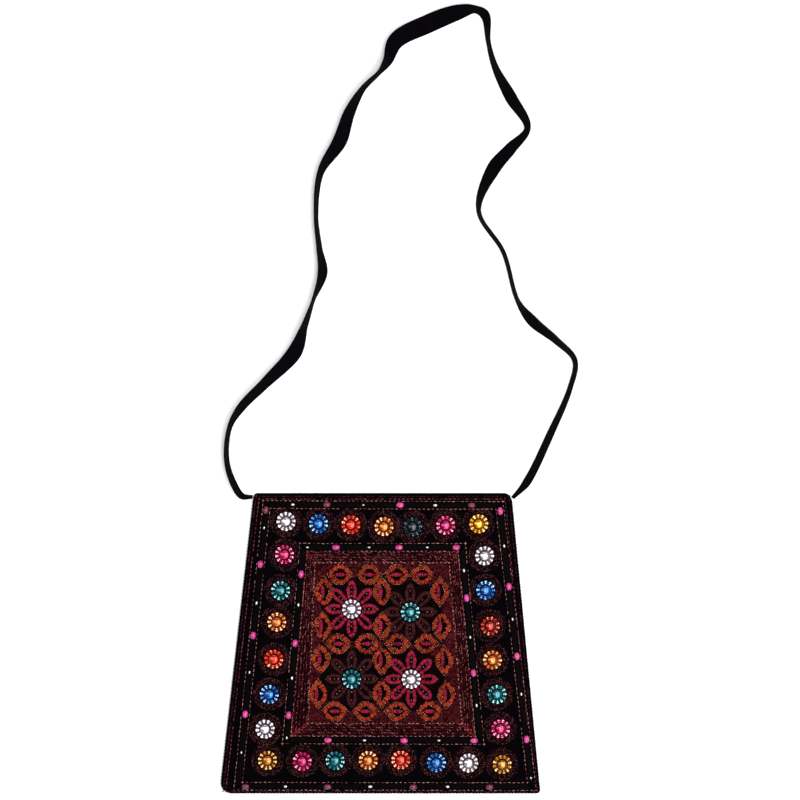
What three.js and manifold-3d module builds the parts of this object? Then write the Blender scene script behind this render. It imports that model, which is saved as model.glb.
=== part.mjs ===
// An embroidered shoulder bag lying on its back: a flat, slightly swollen cloth pouch that narrows towards its
// open mouth, set with flower-shaped stones and beaded ribbons, with a long tape strap laid out beyond the mouth.
// Millimetres. +Z is up, away from the pouch's back. +Y runs from the pouch's bottom to its mouth.
// The origin is on the back face, in the middle of the pouch's height and under the middle of its bottom edge.
import * as THREE from 'three';
import { mergeVertices } from 'three/addons/utils/BufferGeometryUtils.js';
import Module from 'manifold-3d';

const wasm = await Module();
wasm.setup();

// Pouch outline
const POUCH_HEIGHT = 240;
const BOTTOM_WIDTH = 256.5;
const MOUTH_WIDTH = 206;
// The middle of the mouth stands this far to the right of the middle of the bottom.
const MOUTH_SHIFT = 2.1;
const BOTTOM_LEFT_CORNER = 9.5;
const BOTTOM_RIGHT_CORNER = 3;
const MOUTH_LEFT_CORNER = 3;
const MOUTH_RIGHT_CORNER = 6;

// Pouch walls and the pocket between them
const BACK_WALL = 1.6;
const FRONT_WALL = 1.8;
// The back's rim stands this far above the front's at the mouth.
const BACK_RIM = 1.5;
const POCKET_DEPTH = 9;
// The higher the power, the flatter the middle and the steeper the slope down to the seam.
const SIDE_FULLNESS = 3;
const BOTTOM_FULLNESS = 5;
// The mouth lies flatter than the middle of the pocket by this share.
const MOUTH_DROP = 0.22;
// Gap between two pieces that touch on the real bag
const PIECE_GAP = 0.3;

// Flower stones
const STONE_WIDTH = 16;
const STONE_HEIGHT = 4.4;
const STONE_PETALS = 12;
// Distance of the border's stones from the pouch's edges
const STONE_INSET = 28;
// Distances between the four stones of the centre field
const FLOWER_PITCH_ACROSS = 47;
const FLOWER_PITCH_UP = 55;

// Ribbons with barrel beads
const RIBBON_WIDTH = 4.8;
const RIBBON_THICKNESS = 0.7;
// Length cut off each mitred end of a ribbon
const RIBBON_TRIM = 0.225;
const OUTER_RIBBON_INSET = 10;
const INNER_RIBBON_INSET = 44;
const BEAD_LENGTH = 5.8;
const BEAD_WIDTH = 4.4;
// Share of the bead's width at its ends
const BEAD_END_SHARE = 0.68;
// How deep a bead sits in its ribbon
const BEAD_SINK = 0.4;
const BEAD_SIDES = 10;

// Strap
const STRAP_WIDTH = 15;
const STRAP_THICKNESS = 1.2;
// Share of the thickness that each corner of the strap's section is cut back
const STRAP_EDGE_ROUNDING = 0.3;
const STRAP_STEPS_PER_POINT = 2;

// How finely the cloth walls and the ribbons are divided
const FRONT_CELLS = 14;
const BACK_CELLS = 2;
const OUTLINE_CELLS = 14;
const LONG_RIBBON_CELLS = 12;
const SIDE_RIBBON_CELLS = 7;

const COLOURS = {
  cloth: 0x0b0809,
  embroidery: 0x2a1013,
  tape: 0x060606,
  ribbon: 0x050505,
  white: 0xd6d0d8,
  blue: 0x2486ba,
  red_orange: 0xd25f32,
  amber: 0xca8041,
  dark_teal: 0x121c1f,
  magenta: 0xc32b69,
  yellow_gold: 0xdeab29,
  teal: 0x328788,
  dark_red: 0x9e2b1a,
  old_gold: 0xaa702c,
};

// Shallow slumps in the stiff front, placed as shares of the half width (across) and of the height (up).
// Spread is a share of the half height, depth a share of the pocket's own rise there.
const FRONT_DENTS = [
  { across: -0.42, up: 0.16, spread: 0.34, depth: 0.16 },
  { across: 0.3, up: 0.12, spread: 0.28, depth: 0.12 },
  { across: -0.55, up: 0.86, spread: 0.3, depth: 0.1 },
  { across: 0.5, up: 0.7, spread: 0.36, depth: 0.1 },
  { across: 0.02, up: 0.5, spread: 0.4, depth: -0.05 },
];

// Corners of the ribbon frames. Across and along are the distances from the side edge and from the bottom or
// mouth edge, as shares of the frame's inset.
const OUTER_FRAME = {
  inset: OUTER_RIBBON_INSET,
  mouth_left: { across: 1.14, along: 0.9 },
  mouth_right: { across: 1.06, along: 0.98 },
  bottom_right: { across: 0.64, along: 0.55 },
  bottom_left: { across: 1.42, along: 0.58 },
};
const INNER_FRAME = {
  inset: INNER_RIBBON_INSET,
  mouth_left: { across: 1.02, along: 0.98 },
  mouth_right: { across: 1.0, along: 0.98 },
  bottom_right: { across: 1.01, along: 0.97 },
  bottom_left: { across: 1.11, along: 0.98 },
};

// Barrel beads on each ribbon, as shares of its length: left to right, or from the mouth down.
const OUTER_BEADS = {
  top: [0.26, 0.573, 0.88],
  bottom: [0.026, 0.305, 0.596, 0.856],
  left: [0.02, 0.212, 0.464, 0.743],
  right: [0.02, 0.288, 0.536, 0.831],
};
const INNER_BEADS = {
  top: [0.205, 0.604, 0.965],
  bottom: [0.214, 0.608, 0.97],
  left: [0.139, 0.497, 0.871],
  right: [0.262, 0.649],
};

// Rows of border stones. Each end is given by its distances from the side edge and from the bottom or mouth edge,
// as shares of the stone inset. Each stone has its colour and how far it was sewn off the even spacing, across and
// up, as shares of a stone's width.
const STONE_ROWS = [
  {
    name: 'top',
    from: { side: -1, across: 1.035, along: 0.895 },
    to: { side: 1, across: 1.03, along: 0.895 },
    edge: 'mouth',
    stones: [
      { colour: 'white', across: 0, up: 0.16 },
      { colour: 'blue', across: 0.02, up: 0.05 },
      { colour: 'red_orange', across: 0.03, up: 0 },
      { colour: 'amber', across: 0.08, up: -0.09 },
      { colour: 'dark_teal', across: -0.09, up: -0.11 },
      { colour: 'magenta', across: -0.05, up: -0.03 },
      { colour: 'yellow_gold', across: 0, up: 0.04 },
    ],
  },
  {
    name: 'bottom',
    from: { side: -1, across: 1.27, along: 0.925 },
    to: { side: 1, across: 1.01, along: 0.925 },
    edge: 'bottom',
    stones: [
      { colour: 'old_gold', across: 0, up: 0.06 },
      { colour: 'magenta', across: 0.06, up: 0.01 },
      { colour: 'teal', across: 0.03, up: 0.05 },
      { colour: 'amber', across: 0.01, up: 0.07 },
      { colour: 'red_orange', across: -0.04, up: 0.09 },
      { colour: 'blue', across: 0.06, up: -0.05 },
      { colour: 'white', across: 0, up: -0.07 },
      { colour: 'old_gold', across: 0, up: -0.15 },
    ],
  },
];

// Columns of border stones, from the mouth down. Top and bottom are the heights of the first and last stone as
// shares of the pouch's height.
const STONE_COLUMNS = [
  {
    name: 'left',
    side: -1,
    top: { across: 1.09, up: 0.796 },
    bottom: { across: 1.1, up: 0.216 },
    stones: [
      { colour: 'magenta', across: 0, up: 0 },
      { colour: 'teal', across: 0, up: -0.05 },
      { colour: 'amber', across: 0.01, up: 0.12 },
      { colour: 'red_orange', across: 0.05, up: 0.01 },
      { colour: 'blue', across: 0.02, up: -0.01 },
      { colour: 'white', across: 0, up: 0 },
    ],
  },
  {
    name: 'right',
    side: 1,
    top: { across: 0.95, up: 0.792 },
    bottom: { across: 0.97, up: 0.217 },
    stones: [
      { colour: 'white', across: 0, up: 0 },
      { colour: 'blue', across: -0.11, up: 0.01 },
      { colour: 'dark_red', across: -0.04, up: -0.05 },
      { colour: 'amber', across: -0.09, up: -0.02 },
      { colour: 'teal', across: -0.02, up: -0.01 },
      { colour: 'magenta', across: 0, up: 0 },
    ],
  },
];

// The four stones in the hearts of the embroidered flowers, around the field's middle. Nudges are shares of a
// stone's width.
const FIELD_MIDDLE = { across: 0.05, up: -0.07 };
const CENTRE_STONES = [
  { colour: 'white', across: -0.5, up: 0.5, nudge: { across: 0.01, up: 0.09 } },
  { colour: 'teal', across: 0.5, up: 0.5, nudge: { across: -0.01, up: -0.06 } },
  { colour: 'teal', across: -0.5, up: -0.5, nudge: { across: 0.01, up: 0.04 } },
  { colour: 'white', across: 0.5, up: -0.5, nudge: { across: 0.04, up: 0.03 } },
];

// Rings of a stone's turned profile, from its base upwards. Radius is a share of half the stone's width and height a
// share of its height. Valley is the share of the radius lost between two petals.
const STONE_RINGS = [
  { radius: 0.9, height: 0, valley: 0.14 },
  { radius: 1, height: 0.36, valley: 0.17 },
  { radius: 0.66, height: 0.4, valley: 0 },
  { radius: 0.58, height: 0.68, valley: 0 },
  { radius: 0.33, height: 0.92, valley: 0 },
];

// The strap's route on the surface, from the pouch's left corner round to its right one. Tilt is how far the tape
// leans from lying flat towards standing on its edge, in degrees. Gather is the share of its width that is left
// where it is pinched together.
const STRAP_ROUTE = [
  { x: -101.8, y: 116.9, tilt: 78, gather: 0.3 },
  { x: -110.2, y: 117.6, tilt: 68, gather: 0.7 },
  { x: -117.2, y: 128.4, tilt: 74, gather: 1 },
  { x: -122.4, y: 147, tilt: 79, gather: 1 },
  { x: -119.8, y: 173, tilt: 80, gather: 1 },
  { x: -110.5, y: 188.8, tilt: 66, gather: 1 },
  { x: -91.5, y: 208, tilt: 60, gather: 1 },
  { x: -68.5, y: 232.2, tilt: 38, gather: 1 },
  { x: -60.6, y: 252.5, tilt: 72, gather: 1 },
  { x: -53, y: 274.5, tilt: 86, gather: 1 },
  { x: -45.8, y: 296, tilt: 60, gather: 1 },
  { x: -48.4, y: 316, tilt: 76, gather: 1 },
  { x: -51, y: 342, tilt: 81, gather: 1 },
  { x: -47.4, y: 376, tilt: 74, gather: 1 },
  { x: -32, y: 401.5, tilt: 42, gather: 1 },
  { x: -24.5, y: 423.5, tilt: 56, gather: 1 },
  { x: -13.5, y: 443, tilt: 78, gather: 1 },
  { x: -0.5, y: 456, tilt: 83, gather: 1 },
  { x: 6, y: 465, tilt: 64, gather: 1 },
  { x: 12.8, y: 481.4, tilt: 34, gather: 1 },
  { x: 38, y: 495, tilt: 4, gather: 1 },
  { x: 62, y: 504, tilt: 40, gather: 1 },
  { x: 76, y: 506.2, tilt: 75, gather: 1 },
  { x: 84, y: 501.5, tilt: 64, gather: 1 },
  { x: 86.6, y: 480, tilt: 82, gather: 1 },
  { x: 92, y: 460, tilt: 75, gather: 1 },
  { x: 104.5, y: 436, tilt: 54, gather: 1 },
  { x: 117.8, y: 411.6, tilt: 76, gather: 1 },
  { x: 104.5, y: 395.4, tilt: 52, gather: 1 },
  { x: 90.6, y: 379, tilt: 42, gather: 1 },
  { x: 78.8, y: 345.5, tilt: 82, gather: 1 },
  { x: 98.5, y: 312.5, tilt: 82, gather: 1 },
  { x: 110, y: 273.5, tilt: 82, gather: 1 },
  { x: 121.5, y: 257.6, tilt: 58, gather: 1 },
  { x: 141, y: 241.6, tilt: 72, gather: 1 },
  { x: 155.6, y: 226, tilt: 79, gather: 1 },
  { x: 151.8, y: 204, tilt: 79, gather: 1 },
  { x: 136.4, y: 168, tilt: 71, gather: 1 },
  { x: 117, y: 128.4, tilt: 68, gather: 1 },
  { x: 106, y: 116, tilt: 78, gather: 0.3 },
];

// Keeps only the places of a geometry's vertices and joins those that coincide, which closes it.
function closed(geometry) {
  geometry.deleteAttribute('normal');
  geometry.deleteAttribute('uv');
  return mergeVertices(geometry);
}

// Moves every vertex of a geometry to where place puts it.
function reshape(geometry, place) {
  const position = geometry.getAttribute('position');
  const vertex = new THREE.Vector3();
  for (let i = 0; i < position.count; i += 1) {
    vertex.fromBufferAttribute(position, i);
    const spot = place(vertex);
    position.setXYZ(i, spot.x, spot.y, spot.z);
  }
  position.needsUpdate = true;
  return geometry;
}

function toSolid(geometry) {
  const vertProperties = new Float32Array(geometry.getAttribute('position').array);
  const triVerts = new Uint32Array(geometry.getIndex().array);
  return new wasm.Manifold(new wasm.Mesh({ numProp: 3, vertProperties, triVerts }));
}

function toGeometry(solid) {
  const mesh = solid.getMesh();
  const geometry = new THREE.BufferGeometry();
  geometry.setAttribute('position', new THREE.BufferAttribute(new Float32Array(mesh.vertProperties), 3));
  geometry.setIndex(new THREE.BufferAttribute(new Uint32Array(mesh.triVerts), 1));
  return geometry;
}

// Adds a named mesh with its own material to the bag.
function addPiece(name, geometry, look) {
  geometry.computeVertexNormals();
  const mesh = new THREE.Mesh(geometry, new THREE.MeshStandardMaterial(look));
  mesh.name = name;
  bag.add(mesh);
  return mesh;
}

// Share of the pouch's height at a place, 0 at the bottom edge and 1 at the mouth.
function upShare(y) {
  return (y + POUCH_HEIGHT / 2) / POUCH_HEIGHT;
}

function heightAt(share) {
  return (share - 0.5) * POUCH_HEIGHT;
}

// Where the straight slanting side edge is at a height. Side is -1 on the left and 1 on the right.
function sideEdge(side, y) {
  const halfWidth = THREE.MathUtils.lerp(BOTTOM_WIDTH, MOUTH_WIDTH, upShare(y)) / 2;
  return MOUTH_SHIFT * upShare(y) + side * halfWidth;
}

// The side edge of a panel whose upper edge is at top, with its rounded corners.
function roundedEdge(side, y, top) {
  const atBottom = side < 0 ? BOTTOM_LEFT_CORNER : BOTTOM_RIGHT_CORNER;
  const atMouth = side < 0 ? MOUTH_LEFT_CORNER : MOUTH_RIGHT_CORNER;
  const fromBottom = y + POUCH_HEIGHT / 2;
  const fromTop = top - y;
  let inset = 0;
  if (fromBottom < atBottom) {
    inset = atBottom - Math.sqrt(Math.max(0, atBottom ** 2 - (atBottom - fromBottom) ** 2));
  } else if (fromTop < atMouth) {
    inset = atMouth - Math.sqrt(Math.max(0, atMouth ** 2 - (atMouth - fromTop) ** 2));
  }
  return sideEdge(side, y) - side * inset;
}

// Height of the pocket between the two walls at a place: nothing at the seams, open at the mouth.
function pocketRise(x, y) {
  const left = roundedEdge(-1, y, FRONT_TOP);
  const right = roundedEdge(1, y, FRONT_TOP);
  const across = THREE.MathUtils.clamp((2 * x - left - right) / (right - left), -1, 1);
  const up = THREE.MathUtils.clamp(upShare(y), 0, 1);
  let dent = 0;
  for (const row of FRONT_DENTS) {
    const distance = Math.hypot(across - row.across, 2 * (up - row.up)) / row.spread;
    dent += row.depth * Math.exp(-(distance ** 2));
  }
  const sides = 1 - Math.abs(across) ** SIDE_FULLNESS;
  const bottom = 1 - (1 - up) ** BOTTOM_FULLNESS;
  const mouth = 1 - MOUTH_DROP * up ** 3;
  return POCKET_DEPTH * sides * bottom * mouth * (1 - dent);
}

function frontUnderside(x, y) {
  return BACK_WALL + PIECE_GAP + pocketRise(x, y);
}

function frontTopside(x, y) {
  return frontUnderside(x, y) + FRONT_WALL;
}

// A cloth wall with the pouch's outline, from its underside and its topside, so many cells wide. The cells crowd
// towards the edges, where the outline and the swell turn fastest.
function panelWall(top, cells, underside, topside) {
  const board = closed(new THREE.BoxGeometry(1, 1, 1, cells, OUTLINE_CELLS, 1));
  return reshape(board, (vertex) => {
    const across = (1 + Math.sin(Math.PI * vertex.x)) / 2;
    const up = (1 + Math.sin(Math.PI * vertex.y)) / 2;
    const y = THREE.MathUtils.lerp(-POUCH_HEIGHT / 2, top, up);
    const x = THREE.MathUtils.lerp(roundedEdge(-1, y, top), roundedEdge(1, y, top), across);
    return new THREE.Vector3(x, y, vertex.z > 0 ? topside(x, y) : underside(x, y));
  });
}

// A flower stone standing on the origin: a turned dome with petals round its foot.
function stoneShape() {
  const profile = [new THREE.Vector2(0, 0)];
  for (const ring of STONE_RINGS) {
    profile.push(new THREE.Vector2((ring.radius * STONE_WIDTH) / 2, ring.height * STONE_HEIGHT));
  }
  profile.push(new THREE.Vector2(0, STONE_HEIGHT));
  const turned = new THREE.LatheGeometry(profile, 2 * STONE_PETALS);
  turned.rotateX(Math.PI / 2);
  const stone = closed(turned);
  return reshape(stone, (vertex) => {
    const ring = STONE_RINGS.find((row) => Math.abs(row.height * STONE_HEIGHT - vertex.z) < 0.001);
    const turn = Math.atan2(vertex.y, vertex.x) / (Math.PI / STONE_PETALS);
    const inValley = Math.abs(Math.round(turn)) % 2 === 1;
    const shrink = ring && inValley ? 1 - ring.valley : 1;
    return new THREE.Vector3(vertex.x * shrink, vertex.y * shrink, vertex.z);
  });
}

// Sets a stone on the front at a place, square to the cloth there.
function seatStone(name, colour, x, y) {
  const step = STONE_WIDTH / 4;
  const slopeX = (frontTopside(x + step, y) - frontTopside(x - step, y)) / (2 * step);
  const slopeY = (frontTopside(x, y + step) - frontTopside(x, y - step)) / (2 * step);
  const normal = new THREE.Vector3(-slopeX, -slopeY, 1).normalize();
  const mesh = addPiece(name, stoneShape(), { color: COLOURS[colour], roughness: 0.12, metalness: 0.1 });
  mesh.quaternion.setFromUnitVectors(new THREE.Vector3(0, 0, 1), normal);
  mesh.position.set(x, y, frontTopside(x, y)).addScaledVector(normal, PIECE_GAP);
}

// Corner of a ribbon frame's centre line.
function frameCorner(frame, side, atMouth) {
  const row = frame[`${atMouth ? 'mouth' : 'bottom'}_${side < 0 ? 'left' : 'right'}`];
  const along = row.along * frame.inset;
  const y = atMouth ? POUCH_HEIGHT / 2 - along : along - POUCH_HEIGHT / 2;
  const x = sideEdge(side, y) - side * row.across * frame.inset;
  return new THREE.Vector2(x, y);
}

// The four sides of a ribbon frame: each runs between two corners, and its outer side looks out.
function frameSides(frame) {
  const corner = (side, atMouth) => ({ at: frameCorner(frame, side, atMouth), side, up: atMouth ? 1 : -1 });
  return {
    top: [corner(-1, true), corner(1, true)],
    bottom: [corner(-1, false), corner(1, false)],
    left: [corner(-1, true), corner(-1, false)],
    right: [corner(1, true), corner(1, false)],
  };
}

// A barrel bead lying along +X, on the origin.
function beadShape() {
  const profile = [
    new THREE.Vector2(0, -BEAD_LENGTH / 2),
    new THREE.Vector2((BEAD_END_SHARE * BEAD_WIDTH) / 2, -BEAD_LENGTH / 2),
    new THREE.Vector2(BEAD_WIDTH / 2, 0),
    new THREE.Vector2((BEAD_END_SHARE * BEAD_WIDTH) / 2, BEAD_LENGTH / 2),
    new THREE.Vector2(0, BEAD_LENGTH / 2),
  ];
  const barrel = new THREE.LatheGeometry(profile, BEAD_SIDES);
  barrel.rotateZ(-Math.PI / 2);
  return closed(barrel);
}

// One side of a ribbon frame, mitred at its ends, laid on the swollen front, with its beads.
function beadedRibbon([start, end], cells, beads) {
  const direction = end.at.clone().sub(start.at).normalize();
  const half = RIBBON_WIDTH / 2;
  // A mitred end: the outer corner lies further out than the centre line, the inner one further in.
  const rim = (corner, way, outer) => new THREE.Vector2(
    corner.at.x + (outer ? 1 : -1) * corner.side * half,
    corner.at.y + (outer ? 1 : -1) * corner.up * half,
  ).addScaledVector(direction, way * RIBBON_TRIM);
  const strip = closed(new THREE.BoxGeometry(1, 1, 1, cells, 1, 1));
  // The outer side of a ribbon that runs to the right lies above it at the mouth and below it at the bottom.
  const outerIsLeft = direction.x * start.up + direction.y * -start.side > 0;
  reshape(strip, (vertex) => {
    const outer = vertex.y > 0 === outerIsLeft;
    const spot = rim(start, 1, outer).lerp(rim(end, -1, outer), vertex.x + 0.5);
    const lift = PIECE_GAP + (vertex.z > 0 ? RIBBON_THICKNESS : 0);
    return new THREE.Vector3(spot.x, spot.y, frontTopside(spot.x, spot.y) + lift);
  });
  let solid = toSolid(strip);
  for (const share of beads) {
    const spot = start.at.clone().lerp(end.at, THREE.MathUtils.clamp(share, 0, 1));
    const ahead = spot.clone().addScaledVector(direction, BEAD_LENGTH / 2);
    const behind = spot.clone().addScaledVector(direction, -BEAD_LENGTH / 2);
    const rise = frontTopside(ahead.x, ahead.y) - frontTopside(behind.x, behind.y);
    const bead = beadShape();
    bead.rotateY(-Math.atan2(rise, BEAD_LENGTH));
    bead.rotateZ(direction.angle());
    const lift = PIECE_GAP + RIBBON_THICKNESS + BEAD_WIDTH / 2 - BEAD_SINK;
    bead.translate(spot.x, spot.y, frontTopside(spot.x, spot.y) + lift);
    solid = solid.add(toSolid(bead));
  }
  return toGeometry(solid);
}

// The flat tape: cut straight, then laid along its route, tilted and pinched as the route's rows say.
function strapShape() {
  const halfWidth = STRAP_WIDTH / 2;
  const halfThickness = STRAP_THICKNESS / 2;
  const cut = STRAP_EDGE_ROUNDING * STRAP_THICKNESS;
  const section = new THREE.Shape([
    new THREE.Vector2(halfWidth - cut, -halfThickness),
    new THREE.Vector2(halfWidth, -halfThickness + cut),
    new THREE.Vector2(halfWidth, halfThickness - cut),
    new THREE.Vector2(halfWidth - cut, halfThickness),
    new THREE.Vector2(-halfWidth + cut, halfThickness),
    new THREE.Vector2(-halfWidth, halfThickness - cut),
    new THREE.Vector2(-halfWidth, -halfThickness + cut),
    new THREE.Vector2(-halfWidth + cut, -halfThickness),
  ]);
  const rows = STRAP_ROUTE.length - 1;
  const route = new THREE.CatmullRomCurve3(STRAP_ROUTE.map((row) => new THREE.Vector3(row.x, row.y, 0)));
  const straight = new THREE.ExtrudeGeometry(section, {
    depth: 1,
    steps: rows * STRAP_STEPS_PER_POINT,
    bevelEnabled: false,
  });
  return reshape(closed(straight), (vertex) => {
    const before = STRAP_ROUTE[Math.min(Math.floor(vertex.z * rows + 0.001), rows)];
    const after = STRAP_ROUTE[Math.min(Math.ceil(vertex.z * rows - 0.001), rows)];
    const between = vertex.z * rows - Math.floor(vertex.z * rows + 0.001);
    const gather = THREE.MathUtils.lerp(before.gather, after.gather, between);
    const tilt = THREE.MathUtils.degToRad(THREE.MathUtils.lerp(before.tilt, after.tilt, between));
    const centre = route.getPoint(vertex.z);
    const tangent = route.getTangent(vertex.z);
    const sideways = new THREE.Vector3(-tangent.y, tangent.x, 0).normalize();
    const widthWay = sideways.clone().multiplyScalar(Math.cos(tilt)).setZ(Math.sin(tilt));
    const thickWay = sideways.clone().multiplyScalar(-Math.sin(tilt)).setZ(Math.cos(tilt));
    // The cloth that a pinch gathers in makes the tape thicker there.
    const swell = 2 - gather;
    const rest = halfWidth * gather * Math.sin(tilt) + halfThickness * swell * Math.cos(tilt);
    return centre
      .addScaledVector(widthWay, vertex.x * gather)
      .addScaledVector(thickWay, vertex.y * swell)
      .add(new THREE.Vector3(0, 0, rest));
  });
}

// The front's upper edge stops below the back's rim.
const FRONT_TOP = POUCH_HEIGHT / 2 - BACK_RIM;
const bag = new THREE.Group();

// The two walls
addPiece(
  'back_panel',
  panelWall(POUCH_HEIGHT / 2, BACK_CELLS, () => 0, () => BACK_WALL),
  { color: COLOURS.cloth, roughness: 0.9, metalness: 0 },
);
addPiece(
  'front_panel',
  panelWall(FRONT_TOP, FRONT_CELLS, frontUnderside, frontTopside),
  { color: COLOURS.embroidery, roughness: 0.9, metalness: 0 },
);

// The beaded ribbons
for (const [name, frame, beads] of [['outer', OUTER_FRAME, OUTER_BEADS], ['inner', INNER_FRAME, INNER_BEADS]]) {
  for (const [place, ends] of Object.entries(frameSides(frame))) {
    const cells = place === 'top' || place === 'bottom' ? LONG_RIBBON_CELLS : SIDE_RIBBON_CELLS;
    addPiece(
      `${name}_ribbon_${place}`,
      beadedRibbon(ends, cells, beads[place]),
      { color: COLOURS.ribbon, roughness: 0.5, metalness: 0 },
    );
  }
}

// The border stones in rows along the mouth and the bottom
for (const row of STONE_ROWS) {
  const along = row.from.along * STONE_INSET;
  const y = row.edge === 'mouth' ? POUCH_HEIGHT / 2 - along : along - POUCH_HEIGHT / 2;
  const start = sideEdge(-1, y) + row.from.across * STONE_INSET;
  const end = sideEdge(1, y) - row.to.across * STONE_INSET;
  row.stones.forEach((stone, i) => {
    const x = THREE.MathUtils.lerp(start, end, i / (row.stones.length - 1));
    const name = `stone_${row.name}_${i + 1}`;
    seatStone(name, stone.colour, x + stone.across * STONE_WIDTH, y + stone.up * STONE_WIDTH);
  });
}

// The border stones in columns along the sides
for (const column of STONE_COLUMNS) {
  column.stones.forEach((stone, i) => {
    const share = i / (column.stones.length - 1);
    const y = heightAt(THREE.MathUtils.lerp(column.top.up, column.bottom.up, share));
    const across = THREE.MathUtils.lerp(column.top.across, column.bottom.across, share) * STONE_INSET;
    const x = sideEdge(column.side, y) - column.side * across;
    const name = `stone_${column.name}_${i + 1}`;
    seatStone(name, stone.colour, x + stone.across * STONE_WIDTH, y + stone.up * STONE_WIDTH);
  });
}

// The stones of the centre field
CENTRE_STONES.forEach((stone, i) => {
  const x = FIELD_MIDDLE.across * STONE_WIDTH + stone.across * FLOWER_PITCH_ACROSS;
  const y = FIELD_MIDDLE.up * STONE_WIDTH + stone.up * FLOWER_PITCH_UP;
  const name = `stone_centre_${i + 1}`;
  seatStone(name, stone.colour, x + stone.nudge.across * STONE_WIDTH, y + stone.nudge.up * STONE_WIDTH);
});

addPiece('strap', strapShape(), { color: COLOURS.tape, roughness: 0.85, metalness: 0 });

export default bag;
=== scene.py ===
# %% [markdown]
# # An embroidered shoulder bag
# The bag is a flat, stiff cloth pouch that narrows towards its open mouth. Its front carries black ribbons
# with barrel beads, flower-shaped stones on stitched discs, and an embroidered square. A long tape strap
# lies beyond it. The bag lies on its back. +Y runs towards the mouth, +Z is up, and all lengths are in
# metres.

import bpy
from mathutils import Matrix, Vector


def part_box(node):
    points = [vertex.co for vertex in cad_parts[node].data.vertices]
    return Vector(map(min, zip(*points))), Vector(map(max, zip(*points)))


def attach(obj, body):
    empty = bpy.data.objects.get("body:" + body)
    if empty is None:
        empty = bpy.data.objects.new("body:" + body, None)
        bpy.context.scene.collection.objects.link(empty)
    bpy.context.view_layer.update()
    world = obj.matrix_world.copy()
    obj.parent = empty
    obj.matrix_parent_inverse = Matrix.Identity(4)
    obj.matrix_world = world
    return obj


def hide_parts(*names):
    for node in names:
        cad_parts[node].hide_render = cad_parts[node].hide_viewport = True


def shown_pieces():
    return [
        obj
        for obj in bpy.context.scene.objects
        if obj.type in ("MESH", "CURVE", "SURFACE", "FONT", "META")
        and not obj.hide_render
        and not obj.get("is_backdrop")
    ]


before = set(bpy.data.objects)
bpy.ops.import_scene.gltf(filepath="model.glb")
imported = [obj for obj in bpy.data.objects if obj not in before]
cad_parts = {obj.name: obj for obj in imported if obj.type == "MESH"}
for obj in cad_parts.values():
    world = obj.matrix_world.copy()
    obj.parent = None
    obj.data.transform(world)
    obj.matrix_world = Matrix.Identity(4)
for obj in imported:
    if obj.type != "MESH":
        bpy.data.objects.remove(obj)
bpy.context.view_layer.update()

# %% What every cell uses
import math

import bpy
import numpy as np
from mathutils import Vector

MM = 0.001
scene = bpy.context.scene


def srgb(red, green, blue):
    """A colour as the eye reads it, 0 to 255, as the linear colour that a shader takes."""
    shares = [value / 255 for value in (red, green, blue)]
    return tuple(s / 12.92 if s <= 0.04045 else ((s + 0.055) / 1.055) ** 2.4 for s in shares) + (1.0,)


# %% [markdown]
# ## Camera
# The photograph looks straight at the bag's front, with the strap spread out above the mouth. The bag lies
# flat here, so the same view is from straight above. A camera high up with a long lens keeps the bag's
# sides from showing.

# %% Camera
VIEW_MIDDLE = (16 * MM, 194.4 * MM)
VIEW_WIDTH = 640 * MM
CAMERA_HEIGHT = 3.6
SENSOR_WIDTH = 36.0

camera_data = bpy.data.cameras.new("camera")
camera_data.sensor_width = SENSOR_WIDTH
camera_data.lens = SENSOR_WIDTH * CAMERA_HEIGHT / VIEW_WIDTH
camera_data.clip_end = 20
camera = bpy.data.objects.new("camera", camera_data)
camera.location = (*VIEW_MIDDLE, CAMERA_HEIGHT)
scene.collection.objects.link(camera)
scene.camera = camera
print("lens", round(camera_data.lens, 1), "mm")

# %% [markdown]
# ## Meshes from rings and from boards
# Two builders make most pieces. A skin joins rings of points into one closed body, as for the tape, a bead
# or a stone. A board closes an upper and a lower grid of points into one body, as for a wall of cloth or a
# ribbon.

# %% Mesh builders
def new_object(name, points, faces, loop_uv=None, smooth=True):
    """A mesh object at the origin. loop_uv has one place on the pattern for each corner of each face."""
    mesh = bpy.data.meshes.new(name)
    mesh.from_pydata([tuple(p) for p in np.asarray(points, float)], [], [list(map(int, f)) for f in faces])
    if loop_uv is not None:
        layer = mesh.uv_layers.new(name="UVMap")
        layer.data.foreach_set("uv", np.asarray(loop_uv, float).ravel())
    mesh.polygons.foreach_set("use_smooth", [smooth] * len(mesh.polygons))
    mesh.validate()
    piece = bpy.data.objects.new(name, mesh)
    scene.collection.objects.link(piece)
    return piece


def skin(rings, ring_uv):
    """Joins rings of points into a closed body whose ends close on their middles. ring_uv gives each point
    its place on the pattern, with one more column than the rings have, so that the pattern closes too."""
    rings = np.asarray(rings, float)
    count, around = rings.shape[:2]
    points = np.concatenate([rings.reshape(-1, 3), rings[:1].mean(1), rings[-1:].mean(1)])
    first, last = len(points) - 2, len(points) - 1
    faces, loop_uv = [], []
    for i in range(count - 1):
        for j in range(around):
            k = (j + 1) % around
            faces.append((i * around + j, i * around + k, (i + 1) * around + k, (i + 1) * around + j))
            loop_uv += [ring_uv[i][j], ring_uv[i][j + 1], ring_uv[i + 1][j + 1], ring_uv[i + 1][j]]
    end = (count - 1) * around
    for j in range(around):
        k = (j + 1) % around
        faces.append((first, k, j))
        loop_uv += [np.mean(ring_uv[0], 0), ring_uv[0][j + 1], ring_uv[0][j]]
        faces.append((last, end + j, end + k))
        loop_uv += [np.mean(ring_uv[-1], 0), ring_uv[-1][j], ring_uv[-1][j + 1]]
    return points, faces, loop_uv


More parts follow.
